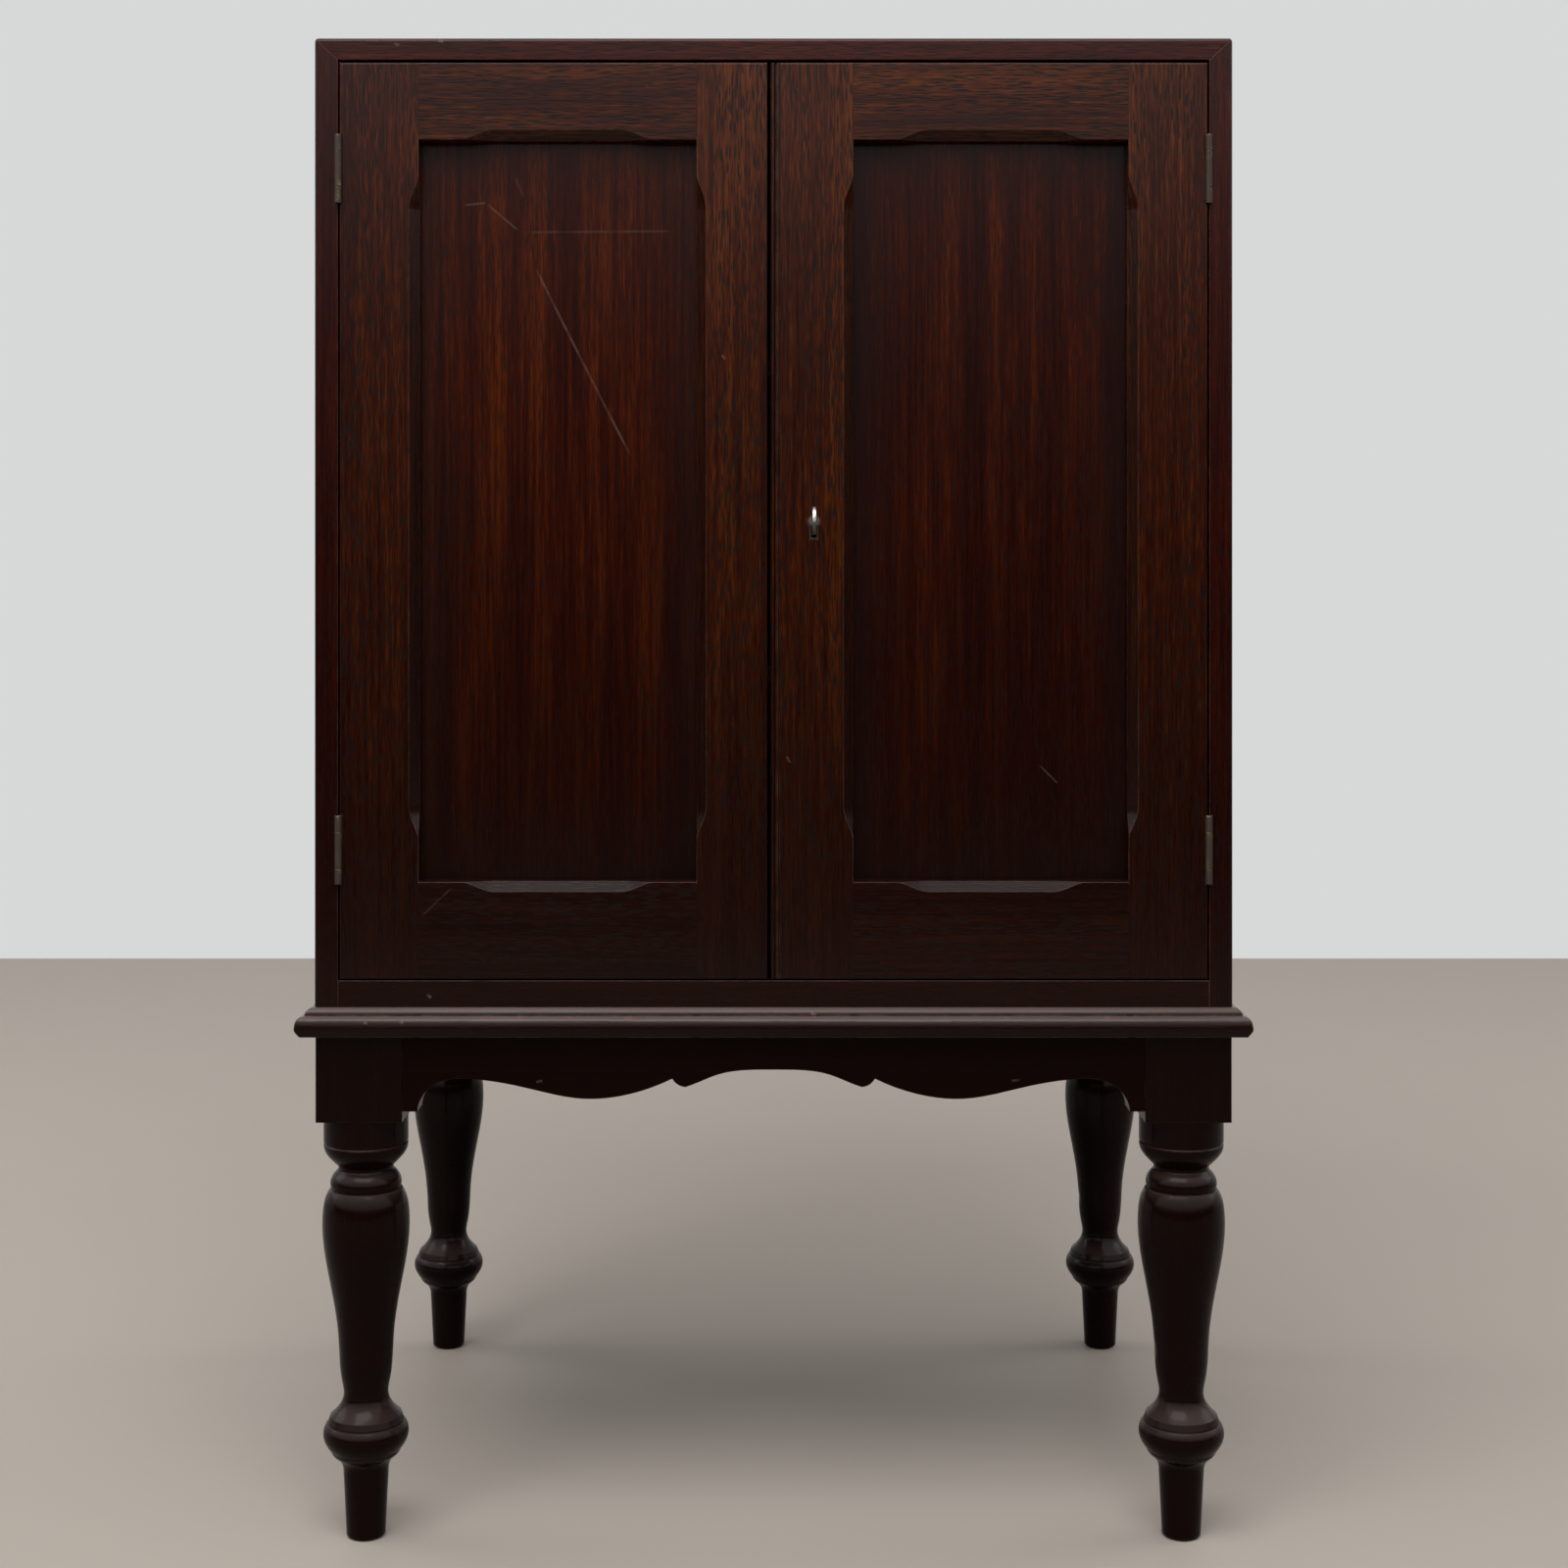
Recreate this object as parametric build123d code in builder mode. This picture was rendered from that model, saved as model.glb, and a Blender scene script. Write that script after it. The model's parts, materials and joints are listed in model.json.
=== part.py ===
from build123d import *
from math import sqrt, tan, radians
import os

os.makedirs("parts", exist_ok=True)

# Carcass, in mm. X is the width, the doors face -Y, and Z = 0 is the floor.
carcass_width = 525.0
carcass_depth = 394.0
carcass_height = 554.0
side_thickness = 13.5
top_thickness = 12.5
bottom_thickness = 15.2
arris_radius = 2.2
housing_depth = 5.0
housing_stop = 12.0
back_thickness = 8.0
back_rebate_width = 7.0
back_rebate_height = 6.0
back_board_names = ["back_board_left", "back_board_middle", "back_board_right"]
back_board_gap = 0.6
shelf_names = ["shelf_lower", "shelf_upper"]
shelf_thickness = 11.0
shelf_setback = 30.0
shelf_housing = 4.0
stop_thickness = 10.0
stop_height = 12.0
stop_gap = 0.4

# Moulded frame between the stand and the carcass
frame_thickness = 16.0
frame_width = 48.0
nose_projection = 9.8
nose_drop = 10.3
quirk_projection = 4.4
quirk_drop = 4.2
ovolo_projection = 4.8
ovolo_bend_projection = 3.9
ovolo_bend_drop = 1.6
quirk_step = 0.6
fillet_projection = 1.4
nose_shoulder_projection = 8.5
nose_shoulder_drop = 5.7
nose_foot_projection = 7.2

# Stand
stand_height = 295.5
block_width = 49.5
block_inset = 0.5
block_height = 50.2
block_arris = 0.8
apron_thickness = 19.0
apron_setback = 1.0
apron_height = 44.0
apron_tenon_length = 20.0
apron_tenon_thickness = 8.0
apron_tenon_shoulder = 5.0
glue_block_size = 18.0
glue_block_length = 60.0
glue_block_chamfer = 7.0
glue_block_x = 100.0

# Shaped lower edge of the front apron, as drops from its top and distances
# from its middle, and for the cove from its end
arch_drop = 20.0
arch_shoulder_x = 33.0
arch_shoulder_drop = 23.2
notch_x = 50.5
notch_drop = 30.0
cusp_x = 58.0
cusp_drop = 25.2
lobe_x = 104.6
lobe_drop = 36.8
crest_from_end = 36.0
crest_drop = 25.2
cove_from_end = 8.7
cove_foot_drop = 42.4

# Turned leg, upper part: drops below the square block, and radii
band_radius = 24.4
bead_drop = 15.9
bead_groove = 0.9
ovolo_inset = 2.0
ovolo_drop = 6.8
neck_drop = 30.5
neck_radius = 15.9
neck_hollow_rise = 1.5
neck_hollow_drop = 2.0
neck_hollow_flare = 1.0
collar_drop = 40.3
collar_radius = 20.5
collar_lip = 0.4
collar_foot_drop = 42.9
turned_step = 0.6
vase_drop = 58.3
vase_radius = 25.0

# Turned leg, long taper: shares of the way from the vase down to the flare
taper_share = 0.301
taper_radius = 21.5
lower_taper_share = 0.594
lower_taper_radius = 16.1
waist_share = 0.822
waist_radius = 14.0

# Turned leg, lower part: heights above the floor, and radii
flare_z = 70.8
flare_radius = 20.6
cup_z = 67.2
cup_radius = 21.9
cup_groove = 0.5
cup_lip = 0.7
cup_lip_drop = 1.0
ball_z = 61.0
ball_radius = 24.6
ball_foot_z = 50.3
ball_foot_radius = 20.0
ring_groove = 0.7
ring_groove_drop = 0.4
ring_inset = 0.2
ring_drop = 0.8
ring_foot_inset = 1.6
ring_foot_drop = 2.6
ankle_z = 42.5
ankle_radius = 13.8
ankle_foot_drop = 5.0
ankle_foot_radius = 13.0
foot_radius = 11.2
foot_rounding = 1.5

# Doors
door_thickness = 20.0
door_arris = 0.9
door_gap_side = 0.8
door_gap_top = 1.6
door_gap_bottom = 0.8
meeting_gap = 1.5
meeting_bead_width = 5.5
meeting_bead_setback = 1.2
bead_round_width = 3.1
bead_quirk_width = 0.9
hinge_stile_width = 45.3
closing_stile_left = 40.5
closing_stile_right = 42.0
top_rail_width = 44.0
bottom_rail_width = 55.5
panel_recess = 10.0
panel_thickness = 6.0
panel_groove_depth = 7.0
panel_side_play = 0.8
tenon_length = 22.0
tenon_shoulder = 8.0
chamfer_width = 5.5
rail_stop = 25.0
rail_stop_run = 19.0
stile_stop_top = 20.5
stile_stop_bottom = 24.5
stile_stop_run = 19.0

# Butt hinges
hinge_length = 38.5
hinge_top_drop = 42.0
hinge_bottom_rise = 54.5
hinge_knuckle_end = 8.6
hinge_knuckle_gap = 0.3
hinge_axis_proud = 1.0
barrel_radius = 2.0
pin_radius = 1.0
pin_head_height = 0.6
leaf_thickness = 1.2
leaf_width = 13.0
leaf_screw_depth = 8.0
leaf_screw_from_end = 7.0

# Lock, key and keyhole
lock_height = 261.5
key_from_edge = 19.5
key_projection = 22.0
bow_width = 15.0
bow_height = 16.0
bow_hole_width = 8.0
bow_hole_height = 9.4
bow_thickness = 2.1
bow_rounding = 0.5
key_collar_length = 2.0
key_collar_radius = 3.0
stem_radius = 2.1
pipe_depth = 10.0
lock_pin_radius = 1.0
bit_radius = 8.6
bit_thickness = 2.0
keyhole_radius = 2.7
keyhole_slot_width = 3.0
keyhole_slot_play = 0.7
escutcheon_rim = 1.0
escutcheon_depth = 2.5
escutcheon_proud = 0.2
lock_setback = 10.8
lock_wall = 1.2
selvedge_thickness = 1.5
lock_cover_thickness = 1.5
lock_width = 31.5
lock_inner_top = 16.6
lock_cover_margin = 8.0
lock_bolt_width = 7.4
lock_bolt_thickness = 4.0
lock_bolt_rise = 7.9
lock_bolt_throw = 6.0
lock_bolt_recess = 0.5
talon_leg = 1.5
strike_thickness = 1.2
strike_width = 9.0
strike_length = 34.0
strike_hole_play = 0.6

# Flush bolts on the back of the left door
flush_bolt_from_edge = 10.0
flush_plate_width = 17.0
flush_plate_length = 64.0
flush_plate_thickness = 1.5
flush_bar_width = 6.0
flush_bar_thickness = 3.2
flush_bar_length = 58.0
flush_bar_recess = 0.5
flush_bolt_throw = 8.0
flush_knob_radius = 2.4
flush_knob_from_end = 44.0
flush_knob_proud = 4.0
flush_socket_depth = 8.2

# Screws: head radius, shank radius and length
brass_head = 2.2
brass_shank = 1.1
brass_length = 9.0
brass_from_end = 4.4
back_screw_head = 3.0
back_screw_shank = 1.5
back_screw_length = 20.0
back_screw_spread = 0.32
stand_screw_head = 4.0
stand_screw_shank = 2.0
stand_screw_length = 27.0
stand_screw_x = 165.0
stand_screw_inset = 36.0
countersink_angle = 82.0

# Clearances
joint_gap = 0.1
screw_gap = 0.05
turning_gap = 0.35
pin_gap = 0.05
sliding_gap = 0.3

# Places that follow from the sizes above
half_width = carcass_width / 2
inner_half = half_width - side_thickness
front_y = (key_projection - carcass_depth) / 2
back_y = front_y + carcass_depth
back_board_y = back_y - back_thickness
carcass_z = stand_height + frame_thickness
carcass_top_z = carcass_z + carcass_height
inside_floor_z = carcass_z + bottom_thickness
ceiling_z = carcass_top_z - top_thickness
door_bottom_z = inside_floor_z + door_gap_bottom
door_top_z = ceiling_z - door_gap_top
door_back_y = front_y + door_thickness
door_outer = inner_half - door_gap_side
door_frame_width = (2 * door_outer - meeting_gap - meeting_bead_width) / 2
hinge_axis_x = inner_half - door_gap_side / 2
hinge_axis_y = front_y - hinge_axis_proud
opening_top_z = door_top_z - top_rail_width
opening_bottom_z = door_bottom_z + bottom_rail_width
panel_front_y = front_y + panel_recess
panel_back_y = panel_front_y + panel_thickness
hinge_tops = (door_top_z - hinge_top_drop, door_bottom_z + hinge_bottom_rise + hinge_length)
left_closing_edge = door_frame_width - door_outer
right_closing_edge = door_outer - door_frame_width
bead_edge = right_closing_edge - meeting_bead_width
key_x = right_closing_edge + key_from_edge
key_z = door_bottom_z + lock_height
leg_x = half_width - block_inset - block_width / 2
leg_front_y = front_y + block_inset + block_width / 2
leg_back_y = back_y - block_inset - block_width / 2
block_z = stand_height - block_height
back_board_count = len(back_board_names)
shelf_count = len(shelf_names)
LEFT = -1
RIGHT = 1


def box_between(x_range, y_range, z_range, mode=Mode.ADD):
    """A box between three pairs of coordinates, added to or cut from the part being made."""
    middle = tuple(sum(pair) / 2 for pair in (x_range, y_range, z_range))
    spans = tuple(abs(pair[1] - pair[0]) for pair in (x_range, y_range, z_range))
    with Locations(middle):
        Box(*spans, mode=mode)


def finish(piece, name):
    """Label a finished piece and write it to its own file."""
    piece.part.label = name
    export_step(piece.part, f"parts/{name}.step")


# Screws

def screw_planes(points, outward):
    """One plane on each screw's head, facing the way the screw came in."""
    return [Plane(origin=point, z_dir=outward) for point in points]


def screw(head_radius, shank_radius, length):
    """A countersunk screw with its head's top at the origin, pointing down."""
    head_height = (head_radius - shank_radius) / tan(radians(countersink_angle / 2))
    with BuildPart() as solid:
        with BuildSketch(Plane.XZ):
            with BuildLine():
                Polyline(
                    (0, 0),
                    (head_radius, 0),
                    (shank_radius, -head_height),
                    (shank_radius, shank_radius * 2 - length),
                    (0, -length),
                    close=True,
                )
            make_face()
        revolve(axis=Axis.Z)
    return solid.part


def screw_set(planes, head_radius, shank_radius, length, name):
    """Identical screws as separate solids of one node."""
    shape = screw(head_radius, shank_radius, length)
    with BuildPart() as screws:
        with Locations(*planes):
            add(shape)
    finish(screws, name)


def screw_holes(planes, head_radius, shank_radius, length):
    """Countersunk holes for a set of screws, cut from the part being made."""
    holes = screw(head_radius + screw_gap, shank_radius + screw_gap, length + screw_gap)
    with Locations(*planes):
        add(holes, mode=Mode.SUBTRACT)


def brass_holes(planes):
    screw_holes(planes, brass_head, brass_shank, brass_length)


leaf_screw_drops = (leaf_screw_from_end, hinge_length - leaf_screw_from_end)
hinge_screw_heights = [top - drop for top in hinge_tops for drop in leaf_screw_drops]


def hinge_screws(hand, leaf_side):
    """Screws through the leaf on the carcass (leaf_side = hand) or on the door (-hand)."""
    head_x = hand * hinge_axis_x + leaf_side * door_gap_side / 2
    points = [(head_x, front_y + leaf_screw_depth, z) for z in hinge_screw_heights]
    return screw_planes(points, (-leaf_side, 0, 0))


carcass_brass_planes = hinge_screws(LEFT, LEFT) + hinge_screws(RIGHT, RIGHT)

stand_screw_points = [
    (x, y, stand_height)
    for x in (-stand_screw_x, stand_screw_x)
    for y in (front_y + stand_screw_inset, back_y - stand_screw_inset)
]
stand_screw_planes = screw_planes(stand_screw_points, (0, 0, -1))

back_half = inner_half + back_rebate_width - joint_gap
back_board_pitch = 2 * back_half / back_board_count
back_board_width = back_board_pitch - back_board_gap
back_screw_x = [
    (index - (back_board_count - 1) / 2) * back_board_pitch + side * back_board_width * back_screw_spread
    for index in range(back_board_count)
    for side in (LEFT, RIGHT)
]
back_screw_z = (carcass_z + bottom_thickness / 2, ceiling_z + back_rebate_height / 2)
back_screw_planes = screw_planes([(x, back_y, z) for x in back_screw_x for z in back_screw_z], (0, 1, 0))


# Turned legs

bead_z = block_z - bead_drop
neck_z = block_z - neck_drop
collar_foot_z = block_z - collar_foot_drop
vase_z = block_z - vase_drop
taper_drop = vase_z - flare_z


def turned_outline(x, y):
    """Half outline of the turning, from the square block down to the foot, as a face."""
    with BuildSketch(Plane(origin=(x, y, 0), x_dir=(1, 0, 0), z_dir=(0, -1, 0))) as outline:
        with BuildLine():
            Polyline(
                (0, block_z),
                (band_radius, block_z),
                (band_radius, bead_z + bead_groove),
                (band_radius - bead_groove, bead_z),
                (band_radius, bead_z - bead_groove),
            )
            ovolo_end = (neck_radius + turned_step, neck_z + neck_hollow_rise)
            Spline(
                (band_radius, bead_z - bead_groove),
                (band_radius - ovolo_inset, bead_z - ovolo_drop),
                ovolo_end,
                tangents=[(0, -1), (-1, -1)],
            )
            collar_top = (neck_radius + neck_hollow_flare, neck_z - neck_hollow_drop)
            ThreePointArc(ovolo_end, (neck_radius, neck_z), collar_top)
            collar_end = (collar_radius - collar_lip, collar_foot_z + turned_step)
            Spline(collar_top, (collar_radius, block_z - collar_drop), collar_end)
            collar_groove = (collar_radius - bead_groove, collar_foot_z)
            vase_top = (collar_radius + turned_step, collar_foot_z - turned_step)
            Polyline(collar_end, collar_groove, vase_top)
            Spline(
                vase_top,
                (vase_radius, vase_z),
                (taper_radius, vase_z - taper_share * taper_drop),
                (lower_taper_radius, vase_z - lower_taper_share * taper_drop),
                (waist_radius, vase_z - waist_share * taper_drop),
                (flare_radius, flare_z),
                tangents=[(1, -1.4), (1.2, -1)],
            )
            cup_edge = (cup_radius, cup_z)
            cup_valley = (cup_radius - cup_groove, cup_z - turned_step)
            ball_top = (cup_radius + cup_lip, cup_z - cup_lip_drop)
            Polyline((flare_radius, flare_z), cup_edge, cup_valley, ball_top)
            ball_foot = (ball_foot_radius, ball_foot_z)
            Spline(ball_top, (ball_radius, ball_z), ball_foot, tangents=[(1, -1.2), (-0.8, -1)])
            ring_valley = (ball_foot_radius - ring_groove, ball_foot_z - ring_groove_drop)
            ring_top = (ball_foot_radius - ring_inset, ball_foot_z - ring_drop)
            ring_foot = (ball_foot_radius - ring_foot_inset, ball_foot_z - ring_foot_drop)
            Polyline(ball_foot, ring_valley, ring_top, ring_foot)
            ankle_foot = (ankle_foot_radius, ankle_z - ankle_foot_drop)
            Spline(ring_foot, (ankle_radius, ankle_z), ankle_foot)
            Polyline(
                ankle_foot,
                (foot_radius, foot_rounding),
                (foot_radius - foot_rounding, 0),
                (0, 0),
                (0, block_z),
            )
        make_face()
    return outline.sketch


apron_foot_z = stand_height - apron_height
tenon_z = (apron_foot_z + apron_tenon_shoulder, stand_height - apron_tenon_shoulder)
tenon_mortise_z = (tenon_z[0] - joint_gap, tenon_z[1] + joint_gap)
apron_middle = block_inset + apron_setback + apron_thickness / 2
mortise_half = apron_tenon_thickness / 2 + joint_gap
mortise_depth = apron_tenon_length + joint_gap


def turned_leg(hand, front, name):
    """A leg with its square top block, mortised on its two inner faces."""
    centre_y = leg_front_y if front else leg_back_y
    inward = 1 if front else -1
    apron_x = hand * (half_width - apron_middle)
    apron_y = front_y + apron_middle if front else back_y - apron_middle
    inner_x = hand * (leg_x - block_width / 2)
    inner_y = centre_y + inward * block_width / 2
    with BuildPart() as leg:
        with BuildSketch(Plane.XY.offset(block_z)):
            with Locations((hand * leg_x, centre_y)):
                Rectangle(block_width, block_width)
        extrude(amount=block_height)
        fillet(edges().filter_by(Axis.Z), block_arris)
        add(turned_outline(hand * leg_x, centre_y))
        revolve(axis=Axis((hand * leg_x, centre_y, 0), (0, 0, 1)))
        mortise_y = (apron_y - mortise_half, apron_y + mortise_half)
        mortise_x = (apron_x - mortise_half, apron_x + mortise_half)
        long_x = (inner_x, inner_x + hand * mortise_depth)
        long_y = (inner_y, inner_y - inward * mortise_depth)
        box_between(long_x, mortise_y, tenon_mortise_z, mode=Mode.SUBTRACT)
        box_between(mortise_x, long_y, tenon_mortise_z, mode=Mode.SUBTRACT)
    finish(leg, name)


turned_leg(LEFT, True, "leg_front_left")
turned_leg(RIGHT, True, "leg_front_right")
turned_leg(LEFT, False, "leg_back_left")
turned_leg(RIGHT, False, "leg_back_right")


# Aprons

apron_half = leg_x - block_width / 2
apron_front_y = front_y + block_inset + apron_setback
apron_tenons_x = (-apron_half - apron_tenon_length, apron_half + apron_tenon_length)
apron_tenon_middle_y = front_y + apron_middle

with BuildPart() as apron_front:
    with BuildSketch(Plane.XZ.offset(-apron_front_y)):
        with BuildLine():
            arch_end = (notch_x, stand_height - notch_drop)
            Spline(
                (0, stand_height - arch_drop),
                (arch_shoulder_x, stand_height - arch_shoulder_drop),
                arch_end,
                tangents=[(1, 0), (1, -0.3)],
            )
            cusp = (cusp_x, stand_height - cusp_drop)
            Spline(arch_end, cusp, tangents=[(1, 0.1), (0.6, 1)])
            crest = (apron_half - crest_from_end, stand_height - crest_drop)
            Spline(cusp, (lobe_x, stand_height - lobe_drop), crest, tangents=[(1, -0.5), (1, 0.05)])
            cove_foot = (apron_half - cove_from_end, stand_height - cove_foot_drop)
            Spline(crest, cove_foot, tangents=[(1, 0.05), (0.2, -1)])
            Polyline(
                cove_foot,
                (cove_foot[0], apron_foot_z),
                (apron_half, apron_foot_z),
                (apron_half, stand_height),
                (0, stand_height),
            )
            mirror(about=Plane.YZ)
        make_face()
    extrude(amount=-apron_thickness)
    tenon_y = (
        apron_tenon_middle_y - apron_tenon_thickness / 2,
        apron_tenon_middle_y + apron_tenon_thickness / 2,
    )
    for hand in (LEFT, RIGHT):
        box_between((hand * apron_half, hand * (apron_half + apron_tenon_length)), tenon_y, tenon_z)
finish(apron_front, "apron_front")

with BuildPart() as apron_back:
    apron_back_y = back_y - apron_middle
    back_y_range = (apron_back_y - apron_thickness / 2, apron_back_y + apron_thickness / 2)
    back_tenon_y = (apron_back_y - apron_tenon_thickness / 2, apron_back_y + apron_tenon_thickness / 2)
    box_between((-apron_half, apron_half), back_y_range, (apron_foot_z, stand_height))
    box_between(apron_tenons_x, back_tenon_y, tenon_z)
finish(apron_back, "apron_back")

side_apron_y = (leg_front_y + block_width / 2, leg_back_y - block_width / 2)
side_tenons_y = (side_apron_y[0] - apron_tenon_length, side_apron_y[1] + apron_tenon_length)


def side_apron(hand, name):
    """The plain rail between the front and back legs on one side."""
    middle_x = hand * (half_width - apron_middle)
    with BuildPart() as apron:
        x_range = (middle_x - apron_thickness / 2, middle_x + apron_thickness / 2)
        tenon_x = (middle_x - apron_tenon_thickness / 2, middle_x + apron_tenon_thickness / 2)
        box_between(x_range, side_apron_y, (apron_foot_z, stand_height))
        box_between(tenon_x, side_tenons_y, tenon_z)
    finish(apron, name)


side_apron(LEFT, "apron_left")
side_apron(RIGHT, "apron_right")

# Glue blocks in the angle between the aprons and the moulded frame
glue_front_y = apron_front_y + apron_thickness + glue_block_size / 2
glue_back_y = apron_back_y - apron_thickness / 2 - glue_block_size / 2
glue_side_x = half_width - apron_middle - apron_thickness / 2 - glue_block_size / 2
glue_z = stand_height - glue_block_size / 2

with BuildPart() as glue_blocks:
    for middle_y in (glue_front_y, glue_back_y):
        for middle_x in (-glue_block_x, glue_block_x):
            with Locations((middle_x, middle_y, glue_z)):
                Box(glue_block_length, glue_block_size, glue_block_size)
    for middle_x in (-glue_side_x, glue_side_x):
        with Locations((middle_x, (leg_front_y + leg_back_y) / 2, glue_z)):
            Box(glue_block_size, glue_block_length, glue_block_size)
    long_edges = edges().filter_by(lambda edge: abs(edge.length - glue_block_length) < joint_gap)
    low_edges = long_edges.group_by(Axis.Z)[0]
    inner_edges = low_edges.filter_by(
        lambda edge: abs(edge.center().X) < glue_side_x and glue_front_y < edge.center().Y < glue_back_y
    )
    chamfer(inner_edges, glue_block_chamfer)
finish(glue_blocks, "glue_blocks")


# Moulded frame: a mitred border of three moulded boards and a plain back rail

def frame_section(plane, face, outward):
    """Section of a moulded board as a face, where face is the carcass face above it."""
    top = carcass_z
    inner = face - outward * frame_width
    with BuildSketch(plane) as section:
        with BuildLine():
            fillet_point = (face + outward * fillet_projection, top)
            ovolo_point = (face + outward * ovolo_projection, top - quirk_drop + quirk_step)
            bend_point = (face + outward * ovolo_bend_projection, top - ovolo_bend_drop)
            ThreePointArc(fillet_point, bend_point, ovolo_point)
            quirk_point = (face + outward * quirk_projection, top - quirk_drop)
            Line(ovolo_point, quirk_point)
            nose_foot = (face + outward * nose_foot_projection, stand_height)
            Spline(
                quirk_point,
                (face + outward * nose_shoulder_projection, top - nose_shoulder_drop),
                (face + outward * nose_projection, top - nose_drop),
                nose_foot,
                tangents=[(outward, -0.1), (-0.7 * outward, -1)],
            )
            Polyline(nose_foot, (inner, stand_height), (inner, top), fillet_point)
        make_face()
    return section.sketch


outer_x = half_width + nose_projection
outer_y = front_y - nose_projection
inner_frame_x = half_width - frame_width
inner_frame_y = front_y + frame_width

with BuildPart() as moulding_front:
    extrude(frame_section(Plane.YZ.offset(-outer_x), front_y, -1), amount=2 * outer_x)
    with BuildSketch(Plane.XY.offset(stand_height)):
        with BuildLine():
            Polyline(
                (-outer_x, outer_y),
                (outer_x, outer_y),
                (inner_frame_x, inner_frame_y),
                (-inner_frame_x, inner_frame_y),
                close=True,
            )
        make_face()
    extrude(amount=frame_thickness, mode=Mode.INTERSECT)
    screw_holes(stand_screw_planes, stand_screw_head, stand_screw_shank, stand_screw_length)
finish(moulding_front, "moulding_front")


def side_moulding(hand, name):
    """The moulded board on one side, mitred to the front one and square at the back."""
    with BuildPart() as moulding:
        section = frame_section(Plane.XZ.offset(-outer_y), hand * half_width, hand)
        extrude(section, amount=outer_y - back_y)
        with BuildSketch(Plane.XY.offset(stand_height)):
            with BuildLine():
                Polyline(
                    (hand * outer_x, outer_y),
                    (hand * outer_x, back_y),
                    (hand * inner_frame_x, back_y),
                    (hand * inner_frame_x, inner_frame_y),
                    close=True,
                )
            make_face()
        extrude(amount=frame_thickness, mode=Mode.INTERSECT)
    finish(moulding, name)


side_moulding(LEFT, "moulding_left")
side_moulding(RIGHT, "moulding_right")

with BuildPart() as stand_back_rail:
    rail_y = (back_y - frame_width, back_y)
    box_between((-inner_frame_x, inner_frame_x), rail_y, (stand_height, carcass_z))
    screw_holes(stand_screw_planes, stand_screw_head, stand_screw_shank, stand_screw_length)
finish(stand_back_rail, "stand_back_rail")
screw_set(stand_screw_planes, stand_screw_head, stand_screw_shank, stand_screw_length, "stand_screws")


# Carcass

with BuildPart() as carcass_envelope:
    box_between((-half_width, half_width), (front_y, back_y), (carcass_z, carcass_top_z))
    front_edges = faces().sort_by(Axis.Y)[0].edges().sort_by(Axis.Z)[1:]
    top_ends = faces().sort_by(Axis.Z)[-1].edges().filter_by(Axis.Y)
    fillet(front_edges + top_ends, arris_radius)

shelf_pitch = (ceiling_z - inside_floor_z + shelf_thickness) / (shelf_count + 1)
shelf_bottoms = [
    inside_floor_z + (index + 1) * shelf_pitch - shelf_thickness
    for index in range(shelf_count)
]
shelf_y = (front_y + shelf_setback, back_board_y)
rebate_y = (back_board_y, back_y)
rebate_top_z = ceiling_z + back_rebate_height


def cut_hinge_seats(hand, wood_side):
    """Recesses for the leaves and barrels of one door's two hinges."""
    axis_x = hand * hinge_axis_x
    deep_x = axis_x + wood_side * (door_gap_side / 2 + leaf_thickness)
    for top in hinge_tops:
        z_range = (top - hinge_length - joint_gap, top + joint_gap)
        leaf_y = (hinge_axis_y, front_y + leaf_width + joint_gap)
        box_between((axis_x, deep_x), leaf_y, z_range, mode=Mode.SUBTRACT)
        barrel_length = hinge_length + pin_head_height + 2 * turning_gap
        with Locations((axis_x, hinge_axis_y, top + (pin_head_height - hinge_length) / 2)):
            Cylinder(barrel_radius + turning_gap, barrel_length, mode=Mode.SUBTRACT)


def side_board(hand, name):
    """A carcass side, mitred to the top board and housed for the shelves and bottom."""
    with BuildPart() as side:
        with BuildSketch(Plane.XZ.offset(-front_y)):
            with BuildLine():
                Polyline(
                    (hand * half_width, carcass_z),
                    (hand * half_width, carcass_top_z),
                    (hand * inner_half, ceiling_z),
                    (hand * inner_half, carcass_z),
                    close=True,
                )
            make_face()
        extrude(amount=-carcass_depth)
        add(carcass_envelope.part, mode=Mode.INTERSECT)
        housing_x = (hand * inner_half, hand * (inner_half + housing_depth))
        housing_y = (front_y + housing_stop, back_y)
        box_between(housing_x, housing_y, (carcass_z, inside_floor_z), mode=Mode.SUBTRACT)
        shelf_x = (hand * inner_half, hand * (inner_half + shelf_housing))
        for bottom in shelf_bottoms:
            box_between(shelf_x, shelf_y, (bottom, bottom + shelf_thickness), mode=Mode.SUBTRACT)
        rebate_x = (hand * inner_half, hand * (inner_half + back_rebate_width))
        box_between(rebate_x, rebate_y, (carcass_z, rebate_top_z), mode=Mode.SUBTRACT)
        cut_hinge_seats(hand, hand)
        brass_holes(hinge_screws(hand, hand))
    finish(side, name)


side_board(LEFT, "side_left")
side_board(RIGHT, "side_right")

flush_bolt_x = left_closing_edge - flush_bolt_from_edge
flush_bar_y = (
    door_back_y - flush_plate_thickness - sliding_gap - flush_bar_thickness,
    door_back_y - flush_plate_thickness - sliding_gap,
)
flush_channel_x = (
    flush_bolt_x - flush_bar_width / 2 - sliding_gap,
    flush_bolt_x + flush_bar_width / 2 + sliding_gap,
)
flush_channel_y = (flush_bar_y[0] - sliding_gap, flush_bar_y[1] + sliding_gap)

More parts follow.
